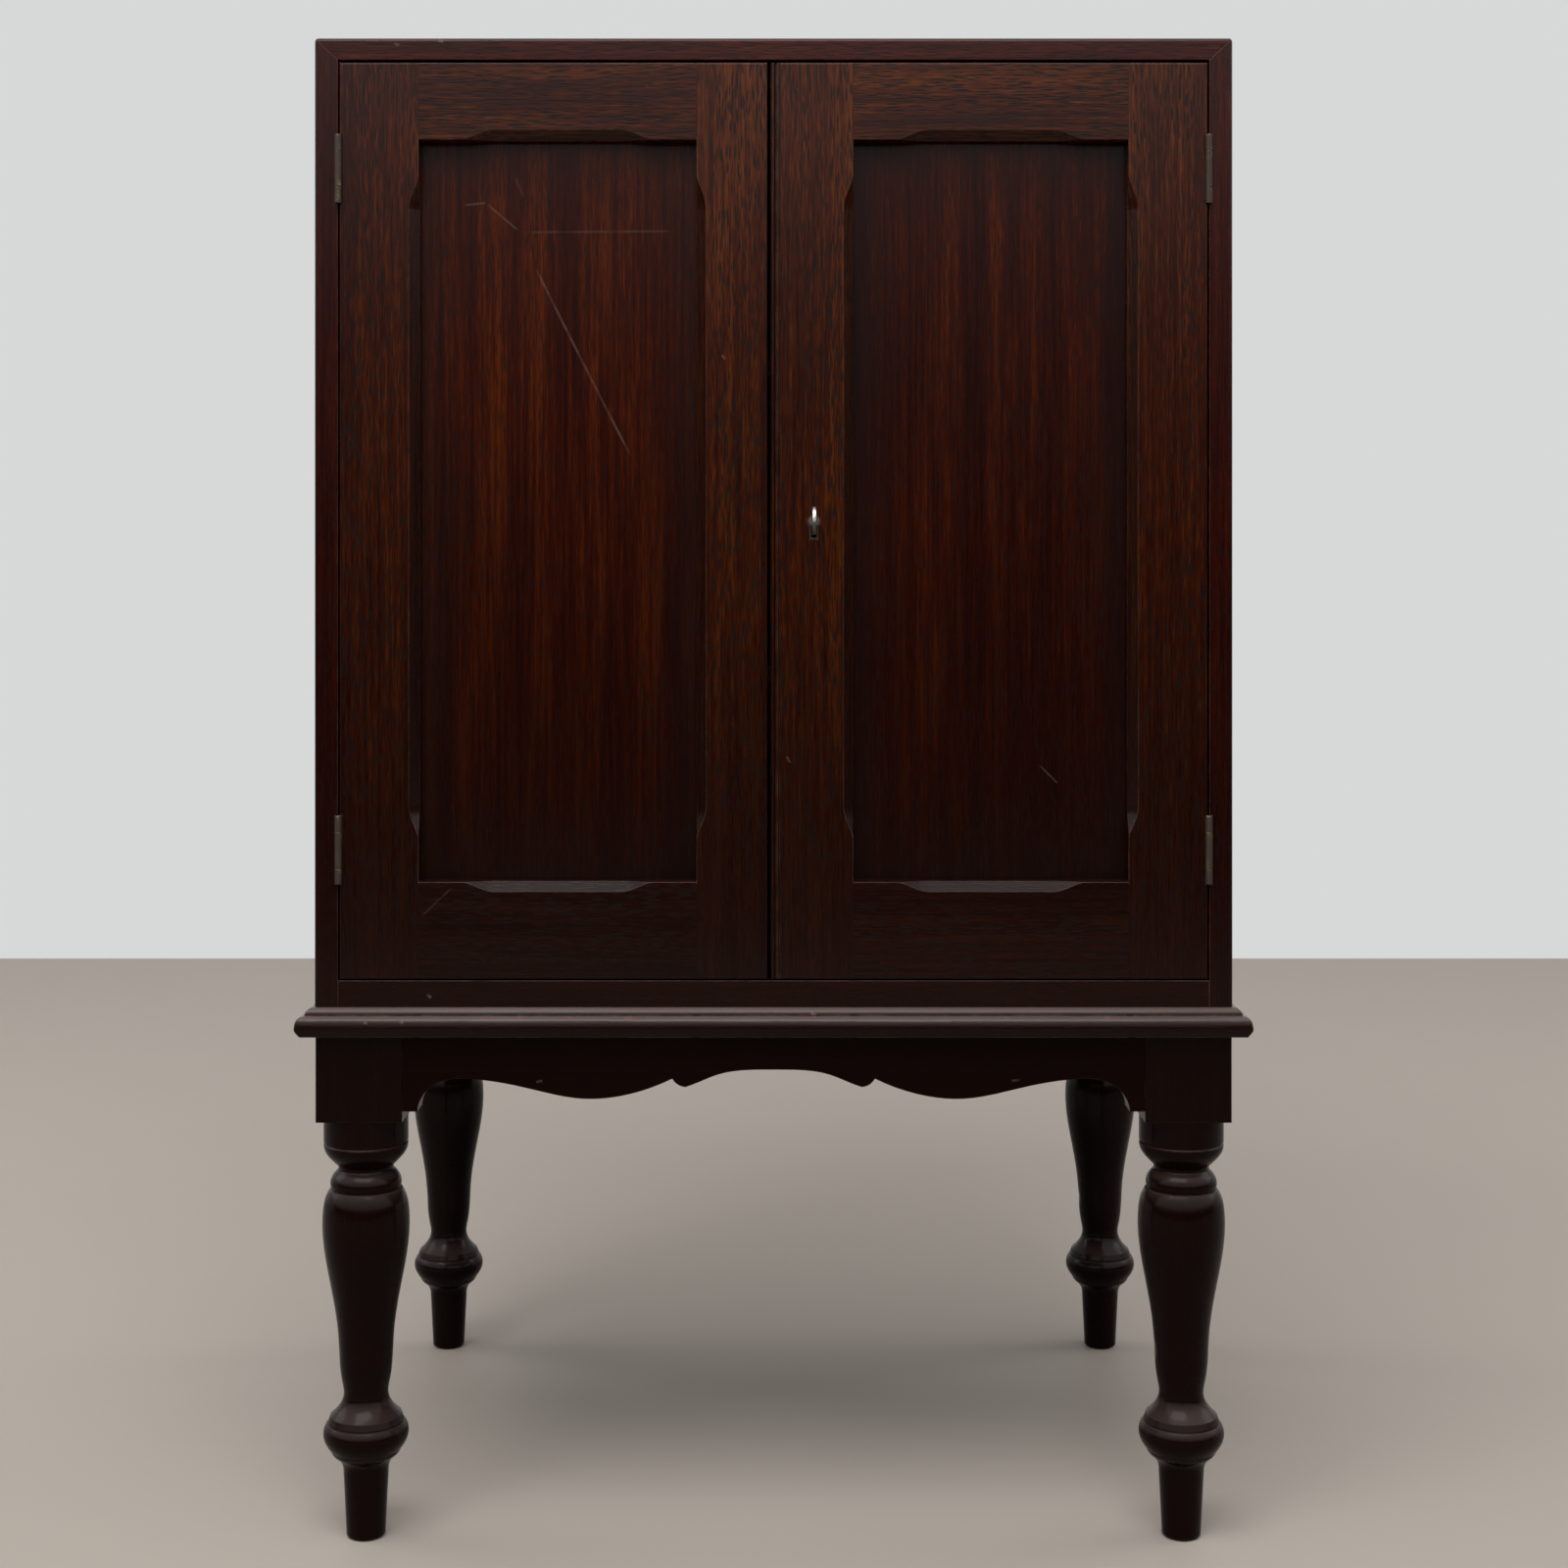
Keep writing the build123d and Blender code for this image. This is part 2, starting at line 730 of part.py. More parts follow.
with BuildPart() as top_board:
    with BuildSketch(Plane.XZ.offset(-front_y)):
        with BuildLine():
            Polyline(
                (-half_width, carcass_top_z),
                (half_width, carcass_top_z),
                (inner_half, ceiling_z),
                (-inner_half, ceiling_z),
                close=True,
            )
        make_face()
    extrude(amount=-carcass_depth)
    add(carcass_envelope.part, mode=Mode.INTERSECT)
    rebate_half = inner_half + back_rebate_width
    box_between((-rebate_half, rebate_half), rebate_y, (ceiling_z, rebate_top_z), mode=Mode.SUBTRACT)
    socket_z = (ceiling_z, ceiling_z + flush_socket_depth)
    box_between(flush_channel_x, flush_channel_y, socket_z, mode=Mode.SUBTRACT)
    screw_holes(back_screw_planes, back_screw_head, back_screw_shank, back_screw_length)
finish(top_board, "top_board")

with BuildPart() as bottom_board:
    housed_half = inner_half + housing_depth - joint_gap
    front_part = (front_y, front_y + housing_stop)
    housed_part = (front_y + housing_stop, back_board_y)
    box_between((-inner_half, inner_half), front_part, (carcass_z, inside_floor_z))
    box_between((-housed_half, housed_half), housed_part, (carcass_z, inside_floor_z))
    socket_z = (inside_floor_z - flush_socket_depth, inside_floor_z)
    box_between(flush_channel_x, flush_channel_y, socket_z, mode=Mode.SUBTRACT)
    screw_holes(stand_screw_planes, stand_screw_head, stand_screw_shank, stand_screw_length)
    screw_holes(back_screw_planes, back_screw_head, back_screw_shank, back_screw_length)
finish(bottom_board, "bottom_board")

for name, bottom in zip(shelf_names, shelf_bottoms):
    with BuildPart() as shelf:
        shelf_half = inner_half + shelf_housing - joint_gap
        box_between((-shelf_half, shelf_half), shelf_y, (bottom, bottom + shelf_thickness))
        front_top = edges().filter_by(Axis.X).group_by(Axis.Y)[0]
        fillet(front_top, arris_radius)
    finish(shelf, name)

for index, name in enumerate(back_board_names):
    with BuildPart() as back_board:
        middle_x = (index - (back_board_count - 1) / 2) * back_board_pitch
        board_x = (middle_x - back_board_width / 2, middle_x + back_board_width / 2)
        box_between(board_x, rebate_y, (carcass_z, rebate_top_z))
        screw_holes(back_screw_planes, back_screw_head, back_screw_shank, back_screw_length)
    finish(back_board, name)
screw_set(back_screw_planes, back_screw_head, back_screw_shank, back_screw_length, "back_screws")

with BuildPart() as door_stop:
    stop_y = (door_back_y + stop_gap, door_back_y + stop_gap + stop_thickness)
    box_between((-inner_half, inner_half), stop_y, (ceiling_z - stop_height, ceiling_z))
finish(door_stop, "door_stop")


# Door joinery shared by both doors

groove_y = (panel_front_y - joint_gap, panel_back_y + joint_gap)
rail_tenon_y = (panel_front_y, panel_back_y)
top_tenon_z = (opening_top_z + panel_groove_depth, door_top_z - tenon_shoulder)
bottom_tenon_z = (door_bottom_z + tenon_shoulder, opening_bottom_z - panel_groove_depth)


def stopped_chamfer(middle, along, into_wood, length, run):
    """Cutter for a 45 degree chamfer on a front edge, which runs out in an ogee at both ends."""
    depth = chamfer_width / sqrt(2)
    diagonal = (Vector(*into_wood) + Vector(0, 1, 0)).normalized()
    normal = Vector(*along).cross(diagonal)
    half = length / 2
    with BuildPart() as cutter:
        with BuildSketch(Plane(origin=middle, x_dir=along, z_dir=normal)):
            with BuildLine():
                Spline((-half, 0), (run - half, depth), tangents=[(1, 0.1), (1, 0)])
                Polyline((run - half, depth), (half - run, depth))
                Spline((half - run, depth), (half, 0), tangents=[(1, 0), (1, -0.1)])
                Polyline((half, 0), (half, -depth), (-half, -depth), (-half, 0))
            make_face()
        extrude(amount=chamfer_width, both=True)
    return cutter.part


def make_stile(outer_edge, width, toward_opening):
    """Add a stile with its panel groove, mortises and stopped chamfer to the part being made."""
    inner_edge = outer_edge + toward_opening * width
    box_between((outer_edge, inner_edge), (front_y, door_back_y), (door_bottom_z, door_top_z))
    front_edges = edges().group_by(Axis.Y)[0]
    outer_front = front_edges.filter_by(Axis.Z).sort_by(Axis.X)[0 if toward_opening > 0 else -1]
    fillet(front_edges.filter_by(Axis.X) + [outer_front], door_arris)
    groove_x = (inner_edge, inner_edge - toward_opening * panel_groove_depth)
    groove_z = (opening_bottom_z - panel_groove_depth, opening_top_z + panel_groove_depth)
    box_between(groove_x, groove_y, groove_z, mode=Mode.SUBTRACT)
    mortise_x = (inner_edge, inner_edge - toward_opening * (tenon_length + joint_gap))
    for tenon_range in (top_tenon_z, bottom_tenon_z):
        mortise_z = (tenon_range[0] - joint_gap, tenon_range[1] + joint_gap)
        box_between(mortise_x, groove_y, mortise_z, mode=Mode.SUBTRACT)
    chamfer_top = opening_top_z - stile_stop_top
    chamfer_bottom = opening_bottom_z + stile_stop_bottom
    middle = (inner_edge, front_y, (chamfer_top + chamfer_bottom) / 2)
    length = chamfer_top - chamfer_bottom
    add(
        stopped_chamfer(middle, (0, 0, 1), (-toward_opening, 0, 0), length, stile_stop_run),
        mode=Mode.SUBTRACT,
    )


def door_rail(opening, upper, name):
    """A door rail with a tenon at each end, a panel groove and a stopped chamfer."""
    z_range = (opening_top_z, door_top_z) if upper else (door_bottom_z, opening_bottom_z)
    tenon_range = top_tenon_z if upper else bottom_tenon_z
    edge_z = opening_top_z if upper else opening_bottom_z
    into_wood = 1 if upper else -1
    with BuildPart() as rail:
        box_between(opening, (front_y, door_back_y), z_range)
        front_edges = edges().group_by(Axis.Y)[0].filter_by(Axis.X).sort_by(Axis.Z)
        fillet(front_edges[-1 if upper else 0], door_arris)
        groove_z = (edge_z, edge_z + into_wood * panel_groove_depth)
        box_between(opening, groove_y, groove_z, mode=Mode.SUBTRACT)
        tenon_x = (opening[0] - tenon_length, opening[1] + tenon_length)
        box_between(tenon_x, rail_tenon_y, tenon_range)
        middle = ((opening[0] + opening[1]) / 2, front_y, edge_z)
        length = opening[1] - opening[0] - 2 * rail_stop
        add(
            stopped_chamfer(middle, (1, 0, 0), (0, 0, into_wood), length, rail_stop_run),
            mode=Mode.SUBTRACT,
        )
    finish(rail, name)


def door_panel(opening, name):
    """The flat panel, loose in the grooves of its frame."""
    with BuildPart() as panel:
        overlap = panel_groove_depth - panel_side_play
        panel_x = (opening[0] - overlap, opening[1] + overlap)
        panel_z = (opening_bottom_z - overlap, opening_top_z + overlap)
        box_between(panel_x, rail_tenon_y, panel_z)
    finish(panel, name)


def hinge_stile(hand, name):
    """The stile that carries a door's hinges."""
    with BuildPart() as stile:
        make_stile(hand * door_outer, hinge_stile_width, -hand)
        cut_hinge_seats(hand, -hand)
        brass_holes(hinge_screws(hand, -hand))
    finish(stile, name)


# Left door

left_opening = (hinge_stile_width - door_outer, left_closing_edge - closing_stile_left)
hinge_stile(LEFT, "left_hinge_stile")
door_rail(left_opening, True, "left_top_rail")
door_rail(left_opening, False, "left_bottom_rail")
door_panel(left_opening, "left_panel")

lock_bolt_z = (key_z + lock_bolt_rise, key_z + lock_bolt_rise + lock_bolt_width)
lock_bolt_middle_z = sum(lock_bolt_z) / 2
lock_front_y = front_y + lock_setback
lock_inside_y = (lock_front_y + lock_wall, door_back_y - lock_cover_thickness)
lock_bolt_middle_y = sum(lock_inside_y) / 2
lock_bolt_y = (lock_bolt_middle_y - lock_bolt_thickness / 2, lock_bolt_middle_y + lock_bolt_thickness / 2)
strike_z = (lock_bolt_middle_z - strike_length / 2, lock_bolt_middle_z + strike_length / 2)
strike_y = (lock_bolt_middle_y - strike_width / 2, lock_bolt_middle_y + strike_width / 2)
strike_hole_y = (lock_bolt_y[0] - strike_hole_play, lock_bolt_y[1] + strike_hole_play)
strike_hole_z = (lock_bolt_z[0] - strike_hole_play, lock_bolt_z[1] + strike_hole_play)
strike_mortise_depth = lock_bolt_throw + strike_thickness
strike_points = [
    (left_closing_edge, lock_bolt_middle_y, z)
    for z in (strike_z[0] + brass_from_end, strike_z[1] - brass_from_end)
]
strike_screws = screw_planes(strike_points, (1, 0, 0))

flush_screw_offset = flush_bar_width / 2 + sliding_gap + brass_head + joint_gap
flush_screw_heights = [
    edge - up * drop
    for edge, up in ((door_top_z, 1), (door_bottom_z, -1))
    for drop in (brass_from_end, flush_plate_length - brass_from_end)
]
flush_points = [
    (flush_bolt_x + side * flush_screw_offset, door_back_y, z)
    for side in (LEFT, RIGHT)
    for z in flush_screw_heights
]
flush_screws = screw_planes(flush_points, (0, 1, 0))
left_brass_planes = hinge_screws(LEFT, RIGHT) + strike_screws + flush_screws


def flush_bolt_range(edge, up, length):
    """Heights from the door's end edge inward, for the upper (up = 1) or lower bolt."""
    return (edge, edge - up * length)


flush_channel_length = flush_bar_recess + flush_bar_length + sliding_gap
flush_plate_x = (flush_bolt_x - flush_plate_width / 2, flush_bolt_x + flush_plate_width / 2)
flush_plate_y = (door_back_y - flush_plate_thickness, door_back_y)

with BuildPart() as left_closing_stile:
    make_stile(left_closing_edge, closing_stile_left, -1)
    for edge, up in ((door_top_z, 1), (door_bottom_z, -1)):
        plate_z = flush_bolt_range(edge, up, flush_plate_length)
        channel_z = flush_bolt_range(edge, up, flush_channel_length)
        box_between(flush_plate_x, flush_plate_y, plate_z, mode=Mode.SUBTRACT)
        channel_y = (flush_channel_y[0], door_back_y)
        box_between(flush_channel_x, channel_y, channel_z, mode=Mode.SUBTRACT)
    plate_x = (left_closing_edge - strike_thickness, left_closing_edge)
    box_between(plate_x, strike_y, strike_z, mode=Mode.SUBTRACT)
    mortise_x = (left_closing_edge - strike_mortise_depth, left_closing_edge)
    box_between(mortise_x, strike_hole_y, strike_hole_z, mode=Mode.SUBTRACT)
    brass_holes(strike_screws + flush_screws)
finish(left_closing_stile, "left_closing_stile")

with BuildPart() as strike_plate:
    box_between(plate_x, strike_y, strike_z)
    box_between(plate_x, strike_hole_y, strike_hole_z, mode=Mode.SUBTRACT)
    brass_holes(strike_screws)
finish(strike_plate, "strike_plate")

flush_slot_half = flush_knob_radius + sliding_gap


def flush_plate(edge, up, name):
    """The plate of a flush bolt, slotted for the travel of its knob."""
    with BuildPart() as plate:
        box_between(flush_plate_x, flush_plate_y, flush_bolt_range(edge, up, flush_plate_length))
        knob_z = edge - up * (flush_bar_recess + flush_knob_from_end)
        slot_z = (knob_z - up * flush_slot_half, knob_z + up * (flush_bolt_throw + flush_slot_half))
        slot_x = (flush_bolt_x - flush_slot_half, flush_bolt_x + flush_slot_half)
        box_between(slot_x, flush_plate_y, slot_z, mode=Mode.SUBTRACT)
        brass_holes(flush_screws)
    finish(plate, name)


def flush_bar(edge, up, name):
    """The sliding bar of a flush bolt, drawn back, with its knob."""
    with BuildPart() as bar:
        end_z = edge - up * flush_bar_recess
        bar_x = (flush_bolt_x - flush_bar_width / 2, flush_bolt_x + flush_bar_width / 2)
        box_between(bar_x, flush_bar_y, (end_z, end_z - up * flush_bar_length))
        knob_z = end_z - up * flush_knob_from_end
        with BuildSketch(Plane.XZ.offset(-flush_bar_y[1])):
            with Locations((flush_bolt_x, knob_z)):
                Circle(flush_knob_radius)
        extrude(amount=flush_bar_y[1] - door_back_y - flush_knob_proud)
    finish(bar, name)


flush_plate(door_top_z, 1, "bolt_plate_top")
flush_plate(door_bottom_z, -1, "bolt_plate_bottom")
flush_bar(door_top_z, 1, "bolt_top")
flush_bar(door_bottom_z, -1, "bolt_bottom")
screw_set(left_brass_planes, brass_head, brass_shank, brass_length, "brass_screws_left_door")


# Right door, with the lock

right_opening = (right_closing_edge + closing_stile_right, door_outer - hinge_stile_width)
hinge_stile(RIGHT, "right_hinge_stile")
door_rail(right_opening, True, "right_top_rail")
door_rail(right_opening, False, "right_bottom_rail")
door_panel(right_opening, "right_panel")

lock_x = (right_closing_edge, right_closing_edge + lock_width)
lock_inside_x = (right_closing_edge + selvedge_thickness, lock_x[1] - lock_wall)
lock_inside_z = (key_z - bit_radius - sliding_gap, key_z + lock_inner_top)
lock_z = (lock_inside_z[0] - lock_wall, lock_inside_z[1] + lock_wall)
lock_cover_z = (lock_z[0] - lock_cover_margin, lock_z[1] + lock_cover_margin)
lock_cover_y = (door_back_y - lock_cover_thickness, door_back_y)
bolt_slot_y = (lock_bolt_y[0] - sliding_gap, lock_bolt_y[1] + sliding_gap)
bolt_slot_z = (lock_bolt_z[0] - sliding_gap, lock_bolt_z[1] + sliding_gap)
lock_screw_x = (lock_inside_x[0] + brass_from_end, lock_inside_x[1] - brass_from_end)
lock_screw_points = [
    (x, door_back_y, z)
    for x in lock_screw_x
    for z in (lock_cover_z[0] + lock_cover_margin / 2, lock_cover_z[1] - lock_cover_margin / 2)
]
lock_screws = screw_planes(lock_screw_points, (0, 1, 0))
right_brass_planes = hinge_screws(RIGHT, LEFT) + lock_screws
keyhole_slot_length = bit_radius + keyhole_slot_play


def keyhole_prism(y_range, rim):
    """The keyhole's outline, made larger by rim, through a span of depth."""
    with BuildPart() as prism:
        with BuildSketch(Plane.XZ.offset(-y_range[0])):
            with Locations((key_x, key_z)):
                Circle(keyhole_radius + rim)
            with Locations((key_x, key_z - (keyhole_slot_length + rim) / 2)):
                Rectangle(keyhole_slot_width + 2 * rim, keyhole_slot_length + rim)
        extrude(amount=y_range[0] - y_range[1])
    return prism.part


escutcheon_y = (front_y, front_y + escutcheon_depth)

with BuildPart() as right_closing_stile:
    make_stile(right_closing_edge, closing_stile_right, 1)
    box_between(lock_x, (lock_front_y, door_back_y), lock_z, mode=Mode.SUBTRACT)
    box_between(lock_x, lock_cover_y, lock_cover_z, mode=Mode.SUBTRACT)
    selvedge_x = (right_closing_edge, right_closing_edge + selvedge_thickness)
    box_between(selvedge_x, (lock_front_y, door_back_y), lock_cover_z, mode=Mode.SUBTRACT)
    add(keyhole_prism((front_y, lock_front_y), 0), mode=Mode.SUBTRACT)
    add(keyhole_prism(escutcheon_y, escutcheon_rim + joint_gap / 2), mode=Mode.SUBTRACT)
    brass_holes(lock_screws)
finish(right_closing_stile, "right_closing_stile")

with BuildPart() as escutcheon:
    rim_y = (front_y - escutcheon_proud, front_y + escutcheon_depth)
    add(keyhole_prism(rim_y, escutcheon_rim))
    add(keyhole_prism(rim_y, 0), mode=Mode.SUBTRACT)
finish(escutcheon, "escutcheon")

with BuildPart() as lock_case:
    box_between(lock_x, (lock_front_y, lock_cover_y[0]), lock_z)
    box_between(selvedge_x, (lock_front_y, lock_cover_y[0]), lock_cover_z)
    box_between(lock_inside_x, (lock_inside_y[0], door_back_y), lock_inside_z, mode=Mode.SUBTRACT)
    box_between(selvedge_x, bolt_slot_y, bolt_slot_z, mode=Mode.SUBTRACT)
    add(keyhole_prism((lock_front_y, lock_inside_y[0]), 0), mode=Mode.SUBTRACT)
finish(lock_case, "lock_case")

key_tip_y = lock_inside_y[1] - sliding_gap
pipe_y = key_tip_y - pipe_depth

with BuildPart() as lock_cover:
    box_between(lock_x, lock_cover_y, lock_cover_z)
    with BuildSketch(Plane.XZ.offset(-lock_cover_y[0])):
        with Locations((key_x, key_z)):
            Circle(lock_pin_radius)
    extrude(amount=lock_cover_y[0] - pipe_y - sliding_gap)
    brass_holes(lock_screws)
finish(lock_cover, "lock_cover")

lock_bolt_x = (bead_edge + lock_bolt_recess, lock_inside_x[1] - sliding_gap)
bit_pass_height = lock_bolt_rise - sliding_gap
bit_pass_half = sqrt(bit_radius**2 - bit_pass_height**2)
talon_x = (key_x - bit_pass_half - bit_thickness / 2, lock_bolt_x[1] - talon_leg)
talon_z = (lock_bolt_z[0], key_z + bit_radius + sliding_gap)

with BuildPart() as lock_bolt:
    box_between(lock_bolt_x, lock_bolt_y, lock_bolt_z)
    box_between(talon_x, lock_bolt_y, talon_z, mode=Mode.SUBTRACT)
finish(lock_bolt, "lock_bolt")

key_end_y = front_y - key_projection
bow_middle_y = key_end_y + bow_width / 2
bow_base_y = key_end_y + bow_width - bow_thickness / 2

with BuildPart() as key:
    with BuildSketch(Plane.YZ.offset(key_x)):
        with Locations((bow_middle_y, key_z)):
            Ellipse(bow_width / 2, bow_height / 2)
            Ellipse(bow_hole_width / 2, bow_hole_height / 2, mode=Mode.SUBTRACT)
    extrude(amount=bow_thickness / 2, both=True)
    bow_rims = edges().filter_by(lambda edge: edge.center().Y < bow_base_y)
    fillet(bow_rims, bow_rounding)
    with BuildSketch(Plane.XZ.offset(-bow_base_y)):
        with Locations((key_x, key_z)):
            Circle(key_collar_radius)
    extrude(amount=-key_collar_length)
    with BuildSketch(Plane.XZ.offset(-bow_base_y)):
        with Locations((key_x, key_z)):
            Circle(stem_radius)
    extrude(amount=bow_base_y - key_tip_y)
    bit_x = (key_x - bit_thickness / 2, key_x + bit_thickness / 2)
    bit_y = (lock_inside_y[0] + sliding_gap, key_tip_y)
    box_between(bit_x, bit_y, (key_z - bit_radius, key_z))
    with BuildSketch(Plane.XZ.offset(-key_tip_y)):
        with Locations((key_x, key_z)):
            Circle(lock_pin_radius + pin_gap)
    extrude(amount=key_tip_y - pipe_y, mode=Mode.SUBTRACT)
finish(key, "key")
screw_set(right_brass_planes, brass_head, brass_shank, brass_length, "brass_screws_right_door")

bead_front_y = front_y + meeting_bead_setback
bead_quirk_x = bead_edge + bead_round_width
bead_flat_x = bead_quirk_x + bead_quirk_width

with BuildPart() as meeting_bead:
    with BuildSketch(Plane.XY.offset(door_bottom_z)):
        with BuildLine():
            shoulder_y = bead_front_y + bead_round_width / 2
            bead_crown = (bead_edge + bead_round_width / 2, bead_front_y)
            ThreePointArc((bead_edge, shoulder_y), bead_crown, (bead_quirk_x, shoulder_y))
            Polyline(
                (bead_quirk_x, shoulder_y),
                (bead_flat_x, shoulder_y),
                (bead_flat_x, bead_front_y),
                (right_closing_edge, bead_front_y),
                (right_closing_edge, door_back_y),
                (bead_edge, door_back_y),
                (bead_edge, shoulder_y),
            )
        make_face()
    extrude(amount=door_top_z - door_bottom_z)
    box_between((bead_edge, right_closing_edge), bolt_slot_y, bolt_slot_z, mode=Mode.SUBTRACT)
finish(meeting_bead, "meeting_bead")


# Hinges: the carcass leaf has the two end knuckles, the door leaf the middle one

def hinge_leaf(hand, top, on_door, name):
    """One leaf of a butt hinge with its knuckles bored for the pin."""
    axis_x = hand * hinge_axis_x
    wood_side = -hand if on_door else hand
    plate_inner = axis_x + wood_side * door_gap_side / 2
    plate_x = (plate_inner, plate_inner + wood_side * leaf_thickness)
    full_z = (top - hinge_length, top)
    middle_z = (top - hinge_length + hinge_knuckle_end, top - hinge_knuckle_end)
    with BuildPart() as leaf:
        with Locations((axis_x, hinge_axis_y, sum(full_z) / 2)):
            Cylinder(barrel_radius, hinge_length)
        box_between(plate_x, (hinge_axis_y, front_y + leaf_width), full_z)
        low_end = (full_z[0], middle_z[0] + hinge_knuckle_gap)
        high_end = (middle_z[1] - hinge_knuckle_gap, full_z[1])
        cuts = (low_end, high_end) if on_door else (middle_z,)
        for low, high in cuts:
            with Locations((axis_x, hinge_axis_y, (low + high) / 2)):
                Cylinder(barrel_radius + turning_gap, high - low, mode=Mode.SUBTRACT)
        with Locations((axis_x, hinge_axis_y, sum(full_z) / 2)):
            Cylinder(pin_radius + pin_gap, hinge_length, mode=Mode.SUBTRACT)
        brass_holes(hinge_screws(hand, wood_side))
    finish(leaf, name)


for hand, side_name in ((LEFT, "left"), (RIGHT, "right")):
    for top, place in zip(hinge_tops, ("top", "bottom")):
        hinge_leaf(hand, top, False, f"hinge_{side_name}_{place}_carcass_leaf")
        hinge_leaf(hand, top, True, f"hinge_{side_name}_{place}_door_leaf")

with BuildPart() as hinge_pins:
    for hand in (LEFT, RIGHT):
        for top in hinge_tops:
            with Locations((hand * hinge_axis_x, hinge_axis_y, top - hinge_length / 2)):
                Cylinder(pin_radius, hinge_length)
            with Locations((hand * hinge_axis_x, hinge_axis_y, top + pin_head_height / 2)):
                Cylinder(barrel_radius, pin_head_height)
finish(hinge_pins, "hinge_pins")
screw_set(carcass_brass_planes, brass_head, brass_shank, brass_length, "brass_screws_carcass")
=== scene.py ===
# %% [markdown]
# # A dark mahogany side cabinet
#
# The solid pieces of this cabinet already exist: every leg, board, hinge and screw is a mesh that
# stands at its real place, in metres, with X across the doors, Y from the doors to the back and
# Z up. What is left is the work of a polisher and a photographer: colour and polish the wood, age
# the metal, light the room and set up the camera. The first cell loads the pieces.

# %% Load the cabinet
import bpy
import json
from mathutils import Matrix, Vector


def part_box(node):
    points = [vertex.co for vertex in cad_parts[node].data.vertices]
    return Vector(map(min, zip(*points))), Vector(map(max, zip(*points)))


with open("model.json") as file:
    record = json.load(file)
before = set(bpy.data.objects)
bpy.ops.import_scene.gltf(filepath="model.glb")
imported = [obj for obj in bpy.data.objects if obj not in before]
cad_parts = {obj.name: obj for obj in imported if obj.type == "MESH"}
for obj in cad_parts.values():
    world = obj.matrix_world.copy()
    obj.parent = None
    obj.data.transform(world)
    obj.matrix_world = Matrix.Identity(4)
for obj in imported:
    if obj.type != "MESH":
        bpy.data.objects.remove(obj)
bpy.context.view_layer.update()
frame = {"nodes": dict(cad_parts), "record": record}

import bmesh
import bpy
import json
import math

from mathutils import Matrix, Vector

# %% [markdown]
# ## The camera
#
# The cabinet is seen from straight in front, from a little above half its height, so that every
# upright stays upright. A camera that looks level and is shifted down in its own frame keeps them
# so, where a tilted one would make the sides lean. That is how a photographer with a shift lens
# takes furniture.

# %% Set up the camera
CAMERA_PLACE = (0.002, -1.525, 0.5488)
SENSOR_WIDTH = 36.0
FOCAL_LENGTH = 53.8
LEVEL_TURN = math.radians(90)
SHIFT_ACROSS = 0.0044
SHIFT_UP = -0.1225

camera = bpy.data.cameras.new("level_camera")
camera.sensor_fit = "HORIZONTAL"
camera.sensor_width = SENSOR_WIDTH
camera.lens = FOCAL_LENGTH
camera.shift_x = SHIFT_ACROSS
camera.shift_y = SHIFT_UP
camera_stand = bpy.data.objects.new("level_camera", camera)
camera_stand.location = CAMERA_PLACE
camera_stand.rotation_euler = (LEVEL_TURN, 0, 0)
bpy.context.collection.objects.link(camera_stand)
bpy.context.scene.camera = camera_stand
bpy.context.scene.view_settings.view_transform = "Standard"
print("camera at", CAMERA_PLACE, "with a lens of", FOCAL_LENGTH, "mm")

# %% [markdown]
# ## Sums on sockets
#
# A finish is a net of nodes. Grain, pores and wear are sums of patterns, and sums read best as
# sums, so one small class lets a socket be added, multiplied and compared like a number. Each
# operation adds its Math node behind the scenes.

# %% A socket that takes sums
class Signal:
    """A socket used like a number that changes over the surface."""

    def __init__(self, finish, socket):
        self.finish = finish
        self.socket = socket

    def sum(self, operation, *values):
        return self.finish.node("ShaderNodeMath", {"operation": operation}, dict(enumerate(values)))

    def __add__(self, other):
        return self.sum("ADD", self, other)

    def __radd__(self, other):
        return self.sum("ADD", other, self)

    def __sub__(self, other):
        return self.sum("SUBTRACT", self, other)

    def __rsub__(self, other):
        return self.sum("SUBTRACT", other, self)

    def __mul__(self, other):
        return self.sum("MULTIPLY", self, other)

    def __rmul__(self, other):
        return self.sum("MULTIPLY", other, self)

    def __truediv__(self, other):
        return self.sum("DIVIDE", self, other)

    def __abs__(self):
        return self.sum("ABSOLUTE", self)

    def least(self, other):
        return self.sum("MINIMUM", self, other)

    def most(self, other):
        return self.sum("MAXIMUM", self, other)

    def between(self, low, high):
        """0 below low, 1 above high and a smooth rise between them."""
        settings = {"interpolation_type": "SMOOTHSTEP", "clamp": True}
        inputs = {"Value": self, "From Min": low, "From Max": high}
        return self.finish.node("ShaderNodeMapRange", settings, inputs)


print("sockets take sums")

# %% [markdown]
# ## A finish
#
# A finish holds one material. Every node but the sums comes from one method that is told the
# node's type, its settings and what goes into its sockets, so a recipe below reads as a list of
# patterns and not as wiring.

# %% A finish made of nodes
def find(sockets, key):
    if isinstance(key, int):
        return sockets[key]
    return next(socket for socket in sockets if key in (socket.identifier, socket.name))


